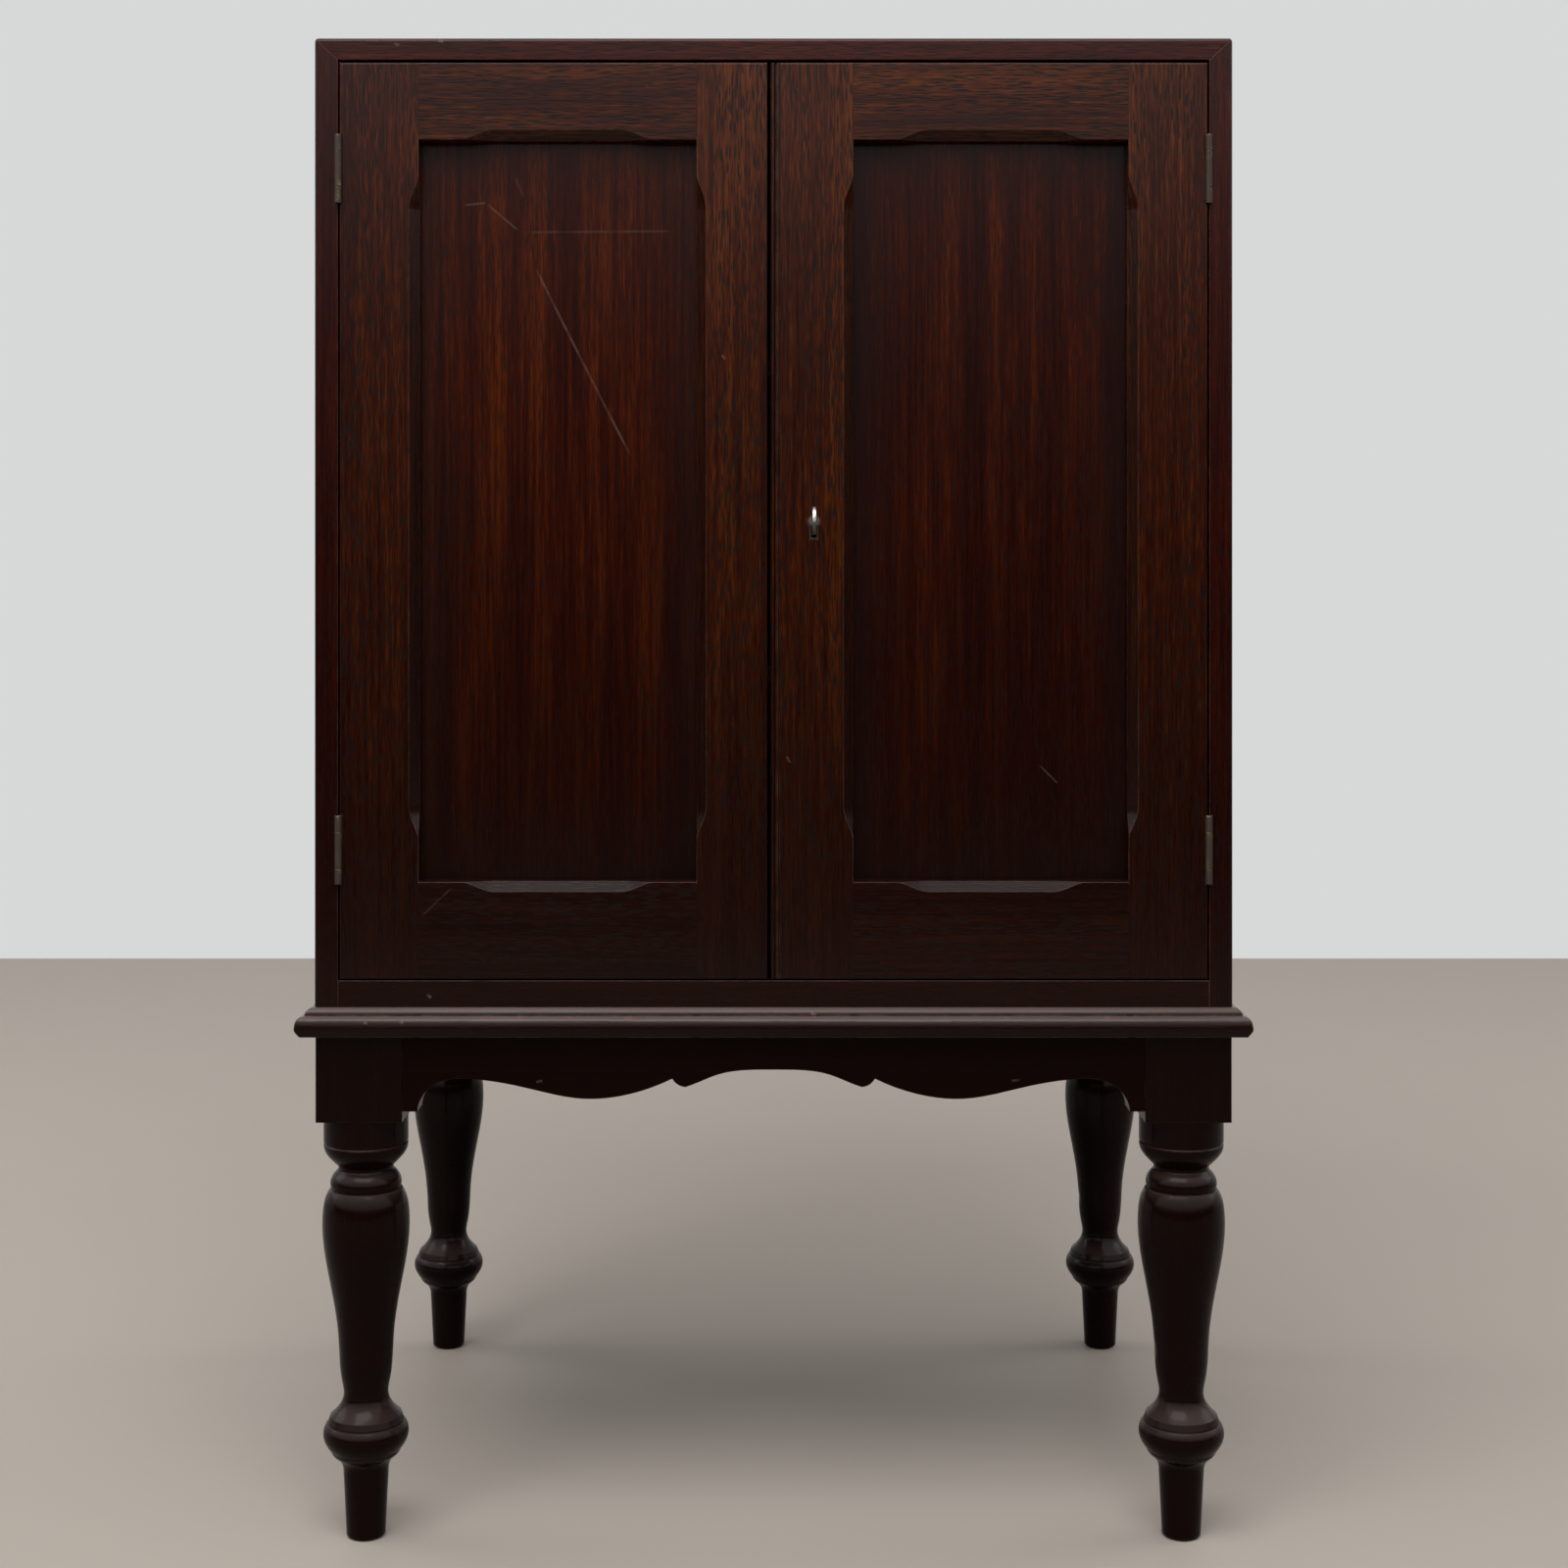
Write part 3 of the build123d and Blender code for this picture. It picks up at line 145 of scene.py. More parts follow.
class Finish:
    """One material, or the world around the cabinet, and the patterns that it is made of."""

    def __init__(self, owner):
        self.owner = owner
        owner.use_nodes = True
        self.tree = owner.node_tree
        self.tree.nodes.clear()

    def node(self, kind, settings, inputs, output=0):
        made = self.tree.nodes.new(kind)
        for key, value in settings.items():
            setattr(made, key, value)
        for key, value in inputs.items():
            socket = find(made.inputs, key)
            if isinstance(value, Signal):
                self.tree.links.new(value.socket, socket)
            else:
                socket.default_value = value
        return Signal(self, find(made.outputs, output)) if made.outputs else None

    def place(self):
        return self.node("ShaderNodeTexCoord", {}, {}, "Object")

    def turned(self, place, shift, turn):
        return self.node("ShaderNodeMapping", {}, {"Vector": place, "Location": shift, "Rotation": turn})

    def stretched(self, place, scale):
        return self.node("ShaderNodeVectorMath", {"operation": "MULTIPLY"}, {0: place, 1: scale})

    def axis(self, place, name):
        return self.node("ShaderNodeSeparateXYZ", {}, {0: place}, name)

    def noise(self, place, scale, detail=2.0, roughness=0.5, warp=0.0):
        inputs = {
            "Vector": self.stretched(place, scale),
            "Scale": 1.0,
            "Detail": detail,
            "Roughness": roughness,
            "Distortion": warp,
        }
        return self.node("ShaderNodeTexNoise", {}, inputs)

    def cells(self, place, scale):
        inputs = {"Vector": self.stretched(place, scale), "Scale": 1.0}
        return self.node("ShaderNodeTexVoronoi", {}, inputs, "Distance")

    def mix(self, share, first, second):
        inputs = {"Factor_Float": share, "A_Color": first, "B_Color": second}
        return self.node("ShaderNodeMix", {"data_type": "RGBA"}, inputs, "Result_Color")

    def finish_with(self, inputs):
        shader = self.node("ShaderNodeBsdfPrincipled", {}, inputs)
        self.node("ShaderNodeOutputMaterial", {}, {"Surface": shader})
        return self.owner


def colour(red, green, blue):
    return (red, green, blue, 1.0)


def weighed(patterns, shares):
    """The sum of the patterns, each times its own share."""
    return sum(pattern * share for pattern, share in zip(patterns, shares))


print("finishes can be made")

# %% [markdown]
# ## The figure of the wood
#
# Mahogany has a straight grain with broad ribbons of darker and lighter wood, fine fibres, and
# pores that show as short dark dashes along the grain. Each is a pattern that is far longer along
# the board than across it. The pattern is solid, so it also runs through edges and ends as in real
# timber. Every board is cut from another place of that timber, which a shift of its own gives it,
# and the timber is turned so that the grain follows the board's length.

# %% Wood figure
GRAIN_TURNS = {
    "X": (0, math.radians(90), 0),
    "Y": (math.radians(90), 0, 0),
    "Z": (0, 0, 0),
}
BOARD_SHIFT = Vector((0.71, 1.37, 2.13))
RIBBON = (16.0, 16.0, 0.9)
STREAK = (75.0, 75.0, 2.6)
FIBRE = (460.0, 460.0, 12.0)
HAIRS = (1500.0, 1500.0, 75.0)
PORES = (740.0, 740.0, 92.0)
CLOUDS = (5.0, 5.0, 5.0)
board_names = sorted(frame["nodes"])


def cut_board(finish, board, grain):
    """The board's own place in the timber, with the grain along its third axis."""
    shift = BOARD_SHIFT * (1 + board_names.index(board))
    return finish.turned(finish.place(), tuple(shift), GRAIN_TURNS[grain])


print("grain can run along", ", ".join(GRAIN_TURNS))

# %% [markdown]
# ## Rounded and rubbed edges
#
# A sharp edge of a polished board is never quite sharp: it was rubbed down before the polish and
# has been knocked since. A Bevel node rounds the light on such edges without touching the mesh.
# Where its normal leaves that of the face there is an edge, which gives the mask for polish that
# is rubbed thin and for a painted highlight along the edges.

# %% Edge mask
EDGE_RADIUS = 0.0009
EDGE_SAMPLES = 4
EDGE_TURN = (0.01, 0.16)
CHAMFER_SLANT = (0.30, 0.45)


def edges(finish, radius=EDGE_RADIUS):
    """The rounded normal and a mask that is 1 on the edges."""
    rounded = finish.node("ShaderNodeBevel", {"samples": EDGE_SAMPLES}, {"Radius": radius})
    flat = finish.node("ShaderNodeNewGeometry", {}, {}, "Normal")
    turn = finish.node("ShaderNodeVectorMath", {"operation": "DOT_PRODUCT"}, {0: rounded, 1: flat}, "Value")
    return rounded, (1 - turn).between(*EDGE_TURN)


def chamfered(finish):
    """A mask that is 1 on the slanted faces of uprights, such as the stopped chamfers."""
    flat = finish.node("ShaderNodeNewGeometry", {}, {}, "Normal")
    slant = abs(finish.axis(flat, "X") * finish.axis(flat, "Y"))
    return slant.between(*CHAMFER_SLANT)


JOINT_LINES = [
    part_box("left_hinge_stile")[1].x,
    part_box("left_closing_stile")[0].x,
    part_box("right_closing_stile")[1].x,
    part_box("right_hinge_stile")[0].x,
]
OPENING_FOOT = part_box("left_bottom_rail")[1].z
OPENING_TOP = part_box("left_top_rail")[0].z
JOINT_HALF_WIDTH = 0.0016


def glued(finish, place):
    """A mask that is 1 where a rail is glued to a stile, so no edge is open to wear."""
    across = finish.axis(place, "X")
    up = finish.axis(place, "Z")
    near = 0
    for joint in JOINT_LINES:
        near = (1 - abs(across - joint).between(JOINT_HALF_WIDTH, 1.5 * JOINT_HALF_WIDTH)).most(near)
    below = 1 - up.between(OPENING_FOOT - JOINT_HALF_WIDTH, OPENING_FOOT)
    return near * below.most(up.between(OPENING_TOP, OPENING_TOP + JOINT_HALF_WIDTH))


print("edges are rounded over", EDGE_RADIUS * 1000, "mm")

# %% [markdown]
# ## Knocks and scratches in known places
#
# Some marks are so plain that the cabinet is known by them, such as the long curved scratch on the
# left panel. Each is a straight stroke or a short arc on the front, given by its ends in
# millimetres across the doors and above the floor. Its mask is the distance to that line, so it
# stays as fine as it is at any size of picture.

# %% Strokes and arcs
STROKE_WIDTH = 0.0006
MILLIMETRE = 0.001
STROKE_START = (0.0, 0.12)
STROKE_END = (0.86, 1.0)
STROKE_CORE = 0.3
ARC_FADE = 0.012


def stroke(finish, place, start, end, width=STROKE_WIDTH):
    """A mask along a straight mark between two points (across, up) in millimetres."""
    start = Vector(start) * MILLIMETRE
    run = Vector(end) * MILLIMETRE - start
    across = finish.axis(place, "X") - start.x
    up = finish.axis(place, "Z") - start.y
    along = (across * (run.x / run.length) + up * (run.y / run.length)) / run.length
    off = abs(across * (run.y / run.length) - up * (run.x / run.length))
    ends = along.between(*STROKE_START) * (1 - along.between(*STROKE_END))
    return (1 - off.between(width * STROKE_CORE, width)) * ends


def arc(finish, place, first, middle, last, width=STROKE_WIDTH):
    """A mask along a curved mark through three points (across, up) in millimetres."""
    a, b, c = (Vector(point) * MILLIMETRE for point in (first, middle, last))
    twice = 2 * (a.x * (b.y - c.y) + b.x * (c.y - a.y) + c.x * (a.y - b.y))
    sizes = [point.length_squared for point in (a, b, c)]
    centre_x = (sizes[0] * (b.y - c.y) + sizes[1] * (c.y - a.y) + sizes[2] * (a.y - b.y)) / twice
    centre_y = (sizes[0] * (c.x - b.x) + sizes[1] * (a.x - c.x) + sizes[2] * (b.x - a.x)) / twice
    radius = math.dist((centre_x, centre_y), a)
    across = finish.axis(place, "X") - centre_x
    up = finish.axis(place, "Z") - centre_y
    square = across * across + up * up
    reach = square.sum("SQRT", square)
    height = finish.axis(place, "Z")
    ends = height.between(c.y, c.y + ARC_FADE) * (1 - height.between(a.y - ARC_FADE, a.y))
    return (1 - abs(reach - radius).between(width * STROKE_CORE, width)) * ends


print("marks are", STROKE_WIDTH * 1000, "mm wide")

# %% [markdown]
# ## French-polished mahogany
#
# The cabinet is all mahogany outside, but its boards differ: the doors' frames are golden brown
# with plain pores, their panels are redder and streaked, the carcass and the stand are stained
# plum, and the legs are nearly black. One recipe polishes them all, and a tone says which wood it
# is. The polish is a thin clear coat over a slightly duller surface, so the wood keeps a soft
# sheen and not a mirror.

# %% Tones of the wood
# Each tone's rubbed colour is worn bare wood and also a painted highlight on the edges; its dust share is
# dust and also a painted sheen on faces that look up.
TONES = {
    "door": {
        "deep": (0.0145, 0.0018, 0.0003),
        "middle": (0.0430, 0.0066, 0.0009),
        "bright": (0.1050, 0.0250, 0.0040),
        "rubbed_and_highlight": (0.2100, 0.0950, 0.0650),
        "figure": (0.20, 0.18, 0.30, 0.32),
        "pores": 0.90,
        "gloss": 0.12,
        "coat": 0.08,
        "dust": 0.00,
    },
    "panel": {
        "deep": (0.0115, 0.0009, 0.0002),
        "middle": (0.0330, 0.0034, 0.0004),
        "bright": (0.0880, 0.0150, 0.0015),
        "rubbed_and_highlight": (0.1300, 0.0500, 0.0300),
        "figure": (0.22, 0.28, 0.28, 0.22),
        "pores": 0.60,
        "gloss": 0.10,
        "coat": 0.06,
        "dust": 0.00,
    },
    "carcass": {
        "deep": (0.0150, 0.0011, 0.0004),
        "middle": (0.0370, 0.0036, 0.0011),
        "bright": (0.0750, 0.0110, 0.0032),
        "rubbed_and_highlight": (0.1700, 0.0650, 0.0500),
        "figure": (0.20, 0.22, 0.30, 0.28),
        "pores": 0.60,
        "gloss": 0.12,
        "coat": 0.07,
        "dust": 0.00,
    },
    "moulding": {
        "deep": (0.0140, 0.0012, 0.0008),
        "middle": (0.0300, 0.0034, 0.0022),
        "bright": (0.0560, 0.0090, 0.0052),
        "rubbed_and_highlight": (0.3600, 0.2300, 0.2050),
        "figure": (0.22, 0.24, 0.30, 0.24),
        "pores": 0.45,
        "gloss": 0.09,
        "coat": 0.08,
        "dust": 0.50,
    },
    "apron": {
        "deep": (0.0050, 0.0005, 0.0003),
        "middle": (0.0115, 0.0011, 0.0007),
        "bright": (0.0220, 0.0034, 0.0020),
        "rubbed_and_highlight": (0.1000, 0.0450, 0.0380),
        "figure": (0.22, 0.24, 0.30, 0.24),
        "pores": 0.45,
        "gloss": 0.03,
        "coat": 0.03,
        "dust": 0.00,
    },
    # The legs' near-black tone is partly painted shade, for the lamp's light that falls off low down.
    "leg": {
        "deep": (0.0035, 0.0004, 0.0002),
        "middle": (0.0085, 0.0010, 0.0006),
        "bright": (0.0180, 0.0030, 0.0016),
        "rubbed_and_highlight": (0.0800, 0.0350, 0.0280),
        "figure": (0.22, 0.24, 0.30, 0.24),
        "pores": 0.40,
        "gloss": 0.05,
        "coat": 0.05,
        "dust": 0.14,
    },
}
DARK_FIGURE = (0.40, 0.52)
BRIGHT_FIGURE = (0.49, 0.64)
PORE_COLOUR = colour(0.0030, 0.0010, 0.0006)
# Dark colour of old wax and grime, also used for painted shade low down, in the chamfers and along the
# panels' frames.
GRIME_AND_SHADE_COLOUR = colour(0.0050, 0.0009, 0.0004)
SCRATCH_COLOUR = colour(0.1500, 0.0800, 0.0640)
DUST_AND_SHEEN_COLOUR = colour(0.2300, 0.1650, 0.1500)
OPEN_PORE = (0.30, 0.48)
PORE_STREAK = (0.30, 0.55)
WAX_CLOUD = (0.35, 0.75)
WAX_SHARE = 0.35
RUBBED_SPOTS = (70.0, 70.0, 70.0)
RUBBED_SPREAD = (0.42, 0.60)
EDGE_WEAR_AND_HIGHLIGHT_SHARES = (0.28, 0.42)
KNOCK_SPOTS = (46.0, 46.0, 46.0)
KNOCK_SPREAD = (0.57, 0.66)
KNOCK_SHARE = 0.7
# Faces that look up get dust and also a painted sheen, as if lit from above.
DUST_AND_SHEEN_SLOPE = (0.20, 0.75)
DUST_AND_SHEEN_EVERYWHERE = 0.35
SCRATCH_SPOTS = (110.0, 110.0, 110.0)
SCRATCH_SPREAD = (0.38, 0.58)
SCRATCH_LEAST = 0.45
POLISH_ROUGHNESS = 0.19
ROUGHENED_BY = {"clouds": 0.09, "pores": 0.16, "edge": 0.12, "rubbed_and_highlight": 0.20, "knocks": 0.25}
DIRT_ROUGHENS = 0.15
SCRATCH_ROUGHENS = 0.25
RAISED_BY = {"fibre": 0.20, "pores": -0.55, "knocks": -2.5}
BEVEL_BUMP = 0.00012
BUMP_STRENGTH = 0.6
MARK_DEPTH = 0.0005
MARK_DEPTHS = {"moulding_front": 0.007}
CHAMFER_GRIME_AND_SHADE = 0.55
# Painted shade towards the floor: full below the first height, gone above the second.
SHADED_FOOT = 0.32
UNSHADED_TOP = 0.76
FOOT_SHADE = 0.84
POLISH_COAT_ROUGHNESS = 0.10
print("tones:", ", ".join(TONES))

# %% [markdown]
# ## How the polish ages
#
# French polish is shellac, rubbed on in many thin coats until it fills all but the open pores. In
# use it wears thin on the edges. So the recipe starts with the figure of the wood, lays the dark
# pores and the old wax over it, darkens it low down with painted shade and in the hollows with old
# wax and painted shade, then takes the edges back to bare wood with a painted highlight along them
# and adds the knocks, the dust with a painted sheen on faces that look up, and the scratches that
# came last.

# %% The polish recipe
def polished(board, grain, tone, marks=(), grime_and_shade=None):
    """Polished mahogany for one board. marks are functions that draw a mask, and so is the last argument, for
    grime and painted shade along a panel's frame.
    """
    finish = Finish(bpy.data.materials.new("polish_" + board))
    place = finish.place()
    timber = cut_board(finish, board, grain)
    wood = TONES[tone]
    ribbon = finish.noise(timber, RIBBON, detail=3.0, warp=0.5)
    streak = finish.noise(timber, STREAK, detail=3.0)
    fibre = finish.noise(timber, FIBRE, detail=2.0)
    clouds = finish.noise(place, CLOUDS, detail=3.0, roughness=0.6)
    hairs = finish.noise(timber, HAIRS, detail=1.0)
    figure = weighed((ribbon, streak, fibre, hairs), wood["figure"])
    dark = finish.mix(figure.between(*DARK_FIGURE), colour(*wood["deep"]), colour(*wood["middle"]))
    base = finish.mix(figure.between(*BRIGHT_FIGURE), dark, colour(*wood["bright"]))
    open_pores = 1 - finish.cells(timber, PORES).between(*OPEN_PORE)
    pores = open_pores * (streak.between(*PORE_STREAK) * 0.6 + 0.4) * wood["pores"]
    base = finish.mix(pores, base, PORE_COLOUR)
    base = finish.mix(clouds.between(*WAX_CLOUD) * WAX_SHARE, base, GRIME_AND_SHADE_COLOUR)
    # Painted shade: the colour darkens towards the floor, standing in for the lamp's light that falls off low
    # down.
    painted_low_shade = (1 - finish.axis(place, "Z").between(SHADED_FOOT, UNSHADED_TOP)) * FOOT_SHADE
    base = finish.mix(painted_low_shade, base, GRIME_AND_SHADE_COLOUR)
    rounded, edge = edges(finish)
    edge = edge * (1 - glued(finish, place))
    rubbed_and_highlight = edge * finish.noise(place, RUBBED_SPOTS, detail=5.0, roughness=0.65).between(*RUBBED_SPREAD)
    # Slanted faces such as the chamfers are darkened: partly old wax in them, partly painted shade.
    base = finish.mix(chamfered(finish) * CHAMFER_GRIME_AND_SHADE, base, GRIME_AND_SHADE_COLOUR)
    # Edges take the rubbed colour: bare wood where the polish wore thin, and a painted highlight along every
    # edge.
    base = finish.mix(weighed((edge, rubbed_and_highlight), EDGE_WEAR_AND_HIGHLIGHT_SHARES), base, colour(*wood["rubbed_and_highlight"]))
    # Dust and a painted sheen on faces that look up, lighter where the lamp overhead would light them.
    if wood["dust"]:
        upward = finish.axis(rounded, "Z").between(*DUST_AND_SHEEN_SLOPE)
        dust_and_sheen = upward * (DUST_AND_SHEEN_EVERYWHERE + clouds) * wood["dust"]
        base = finish.mix(dust_and_sheen, base, DUST_AND_SHEEN_COLOUR)
    knocks = edge * finish.noise(place, KNOCK_SPOTS, detail=5.0, roughness=0.7).between(*KNOCK_SPREAD)
    base = finish.mix(knocks * KNOCK_SHARE, base, PORE_COLOUR)
    roughness = weighed((clouds, pores, edge, rubbed_and_highlight, knocks), ROUGHENED_BY.values()) + POLISH_ROUGHNESS
    height = weighed((fibre, pores, knocks), RAISED_BY.values())
    # Grime and painted shade along a panel's frame.
    if grime_and_shade:
        dirt_and_shade = grime_and_shade(finish, place)
        base = finish.mix(dirt_and_shade, base, GRIME_AND_SHADE_COLOUR)
        roughness = roughness + dirt_and_shade * DIRT_ROUGHENS
    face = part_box(board)[0].y
    depth = MARK_DEPTHS.get(board, MARK_DEPTH)
    outside = 1 - finish.axis(place, "Y").between(face + depth, face + 2 * depth)
    patchy = finish.noise(place, SCRATCH_SPOTS, detail=3.0).between(*SCRATCH_SPREAD)
    broken = SCRATCH_LEAST + patchy * (1 - SCRATCH_LEAST)
    for mark, strength in marks:
        mask = mark(finish, place) * outside * broken * strength
        base = finish.mix(mask, base, SCRATCH_COLOUR)
        roughness = roughness + mask * SCRATCH_ROUGHENS
        height = height - mask
    dents = {"Height": height, "Distance": BEVEL_BUMP, "Strength": BUMP_STRENGTH, "Normal": rounded}
    surface = finish.node("ShaderNodeBump", {}, dents)
    inputs = {
        "Base Color": base,
        "Roughness": roughness,
        "Normal": surface,
        "Specular IOR Level": wood["gloss"],
        "Coat Weight": wood["coat"],
        "Coat Roughness": POLISH_COAT_ROUGHNESS,
    }
    return finish.finish_with(inputs)


print("polish ready")

# %% [markdown]
# ## Unpolished softwood
#
# Behind the doors and under the top nothing was polished. The back boards, the door stop, the glue
# blocks and the rail at the back of the stand are pine or deal, stained brown, with its yearly
# rings. Rings are waves across the board that a slow noise bends.

# %% The stained softwood recipe
RING_SPACING = 0.0052
RING_TILT = 0.6
RING_BEND = 0.11
RING_EDGE = (-0.9, 1.0)
BEND_SCALE = (9.0, 9.0, 1.4)
WEAR_SCALE = (9.0, 9.0, 9.0)
SOFT_FIBRE = (0.35, 0.65)
SOFT_WEAR = (0.45, 0.75)
SOFT_RAISED_BY = (0.5, -0.4)
SOFT_BUMP = 0.0003
SOFT_ROUGHNESS = 0.62


def stained(board, grain, pale, ring):
    """Stained softwood for one board, with yearly rings of one colour on another."""
    finish = Finish(bpy.data.materials.new("stain_" + board))
    place = finish.place()
    timber = cut_board(finish, board, grain)
    bend = finish.noise(timber, BEND_SCALE, detail=3.0)
    fibre = finish.noise(timber, FIBRE, detail=3.0)
    wear = finish.noise(place, WEAR_SCALE, detail=4.0, roughness=0.65)
    across = finish.axis(timber, "X") + finish.axis(timber, "Y") * RING_TILT + bend * RING_BEND
    phase = across * (2 * math.pi / RING_SPACING)
    rings = phase.sum("SINE", phase).between(*RING_EDGE) * (0.35 + fibre * 0.8)
    ringed = rings * 0.55 + fibre.between(*SOFT_FIBRE) * 0.35
    base = finish.mix(ringed, colour(*pale), colour(*ring))
    base = finish.mix(wear.between(*SOFT_WEAR) * 0.5, base, GRIME_AND_SHADE_COLOUR)
    rounded, edge = edges(finish)
    base = finish.mix(edge * 0.25, base, colour(*pale))
    height = weighed((fibre, rings), SOFT_RAISED_BY)
    dents = {"Height": height, "Distance": SOFT_BUMP, "Strength": BUMP_STRENGTH, "Normal": rounded}
    inputs = {
        "Base Color": base,
        "Roughness": SOFT_ROUGHNESS + wear * 0.2,
        "Normal": finish.node("ShaderNodeBump", {}, dents),
    }
    return finish.finish_with(inputs)


print("softwood rings are", RING_SPACING * 1000, "mm apart")

# %% [markdown]
# ## Old metal
#
# The hinges, bolts and lock are brass that has gone brown in its hollows and stays bright where
# hands and moving parts rub it, the screws in the back are dull iron, and the key is worn nickel.
# Tarnish is a rough dark layer over smooth metal, so one mask drives the colour, the metallic
# value and the roughness together.

# %% The metal recipe
BLOTCH_SCALE = (150.0, 150.0, 150.0)
SPECK_SCALE = (1100.0, 1100.0, 1100.0)
FILE_MARKS = (160.0, 900.0, 2600.0)
METAL_EDGE_RADIUS = 0.0004
METAL_BUMP = 0.00008
METAL_BUMP_STRENGTH = 0.5
TARNISH_SPREAD = (0.36, 0.62)
TARNISH_HIDES_METAL = 0.55
TARNISH_ROUGHENS = 0.26
FILING_ROUGHENS = 0.08


def aged(name, bright, tarnish, dirty, roughness, rub=0.8, painted_shade_mask=None):
    """Metal with a dark layer over a share of it that dirty sets, rubbed off on its edges."""
    finish = Finish(bpy.data.materials.new(name))
    place = finish.place()
    blotches = finish.noise(place, BLOTCH_SCALE, detail=4.0, roughness=0.62)
    specks = finish.noise(place, SPECK_SCALE)
    hairs = finish.noise(place, FILE_MARKS)
    rounded, edge = edges(finish, METAL_EDGE_RADIUS)
    cover = (blotches * 0.7 + specks * 0.3 + (dirty - 0.5)).between(*TARNISH_SPREAD)
    cover = cover * (1 - edge * rub)
    # A given mask adds to the dark layer; the key's mask paints shade on its lower half.
    if painted_shade_mask:
        cover = cover.most(painted_shade_mask(finish, place))
    base = finish.mix(cover, colour(*bright), colour(*tarnish))
    dents = {
        "Height": hairs * 0.35 + specks * cover * 0.5,
        "Distance": METAL_BUMP,
        "Strength": METAL_BUMP_STRENGTH,
        "Normal": rounded,
    }
    inputs = {
        "Base Color": base,
        "Metallic": 1 - cover * TARNISH_HIDES_METAL,
        "Roughness": roughness + cover * TARNISH_ROUGHENS + hairs * FILING_ROUGHENS,
        "Normal": finish.node("ShaderNodeBump", {}, dents),
    }
    return finish.finish_with(inputs)


# Where the dark layer on the key begins: its depth near the lock and the height of its middle.
KEY_MIDDLE = (-0.1965, 0.5900)
KEY_FADE = 0.0025
KEY_SHADE_STRENGTH = 0.92


def painted_key_shade(finish, place):
    """A dark layer on the key: painted shade over its lower half, and darker metal all along near the lock.
    """
    depth, height = KEY_MIDDLE
    near_lock = finish.axis(place, "Y").between(depth, depth + KEY_FADE)
    below = 1 - finish.axis(place, "Z").between(height - KEY_FADE, height)
    return near_lock.most(below) * KEY_SHADE_STRENGTH


METALS = {
    "hinge_brass": aged("hinge_brass_aged", (0.26, 0.18, 0.10), (0.035, 0.022, 0.014), 0.64, 0.36),
    "bolt_brass": aged("bolt_brass_aged", (0.52, 0.36, 0.15), (0.090, 0.055, 0.025), 0.48, 0.28),
    "lock_brass": aged("lock_brass_aged", (0.50, 0.35, 0.16), (0.085, 0.052, 0.025), 0.50, 0.30),
    "escutcheon_brass": aged("escutcheon_dark", (0.16, 0.09, 0.045), (0.020, 0.010, 0.006), 0.70, 0.38),
    "brass_screws": aged("brass_screws_aged", (0.46, 0.31, 0.14), (0.060, 0.036, 0.018), 0.55, 0.32),
    "steel_screws": aged("iron_screws_dull", (0.22, 0.21, 0.20), (0.045, 0.032, 0.024), 0.62, 0.42),
    "key_steel": aged(
        "key_nickel_worn", (0.70, 0.68, 0.64), (0.040, 0.030, 0.024), 0.38, 0.24, painted_shade_mask=painted_key_shade
    ),
}
print("metals:", ", ".join(METALS))

# %% [markdown]
# ## Marks and grime of this cabinet
#
# The panels are darker along their frames: partly dust and old wax where a cloth doesn't reach,
# partly painted shade where the frame stands proud of the panel.
# The marks are listed by board, with how strong each is.

# %% Grime and marks
FRAME_DARK_REACH = 0.034
FRAME_DARK_STRENGTH = 0.50
FRAME_DARK_DRIFT = 0.03
DRIFT_SCALE = (22.0, 22.0, 14.0)


def frame_grime_and_shade(board, cover):
    """Grime and painted shade along the frame around a panel, whose edges are hidden by that much."""
    low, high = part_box(board)

    def draw(finish, place):
        drift = (finish.noise(place, DRIFT_SCALE, detail=3.0) - 0.5) * FRAME_DARK_DRIFT
        across = finish.axis(place, "X")
        up = finish.axis(place, "Z")
        sides = (across - (low.x + cover)).least((high.x - cover) - across)
        ends = (up - (low.z + cover)).least((high.z - cover) - up)
        return (1 - (sides.least(ends * 0.6) + drift).between(-0.004, FRAME_DARK_REACH)) * FRAME_DARK_STRENGTH

    return draw


def line(start, end, width=STROKE_WIDTH):
    return lambda finish, place: stroke(finish, place, start, end, width)


def curve(first, middle, last, width=STROKE_WIDTH):
    return lambda finish, place: arc(finish, place, first, middle, last, width)


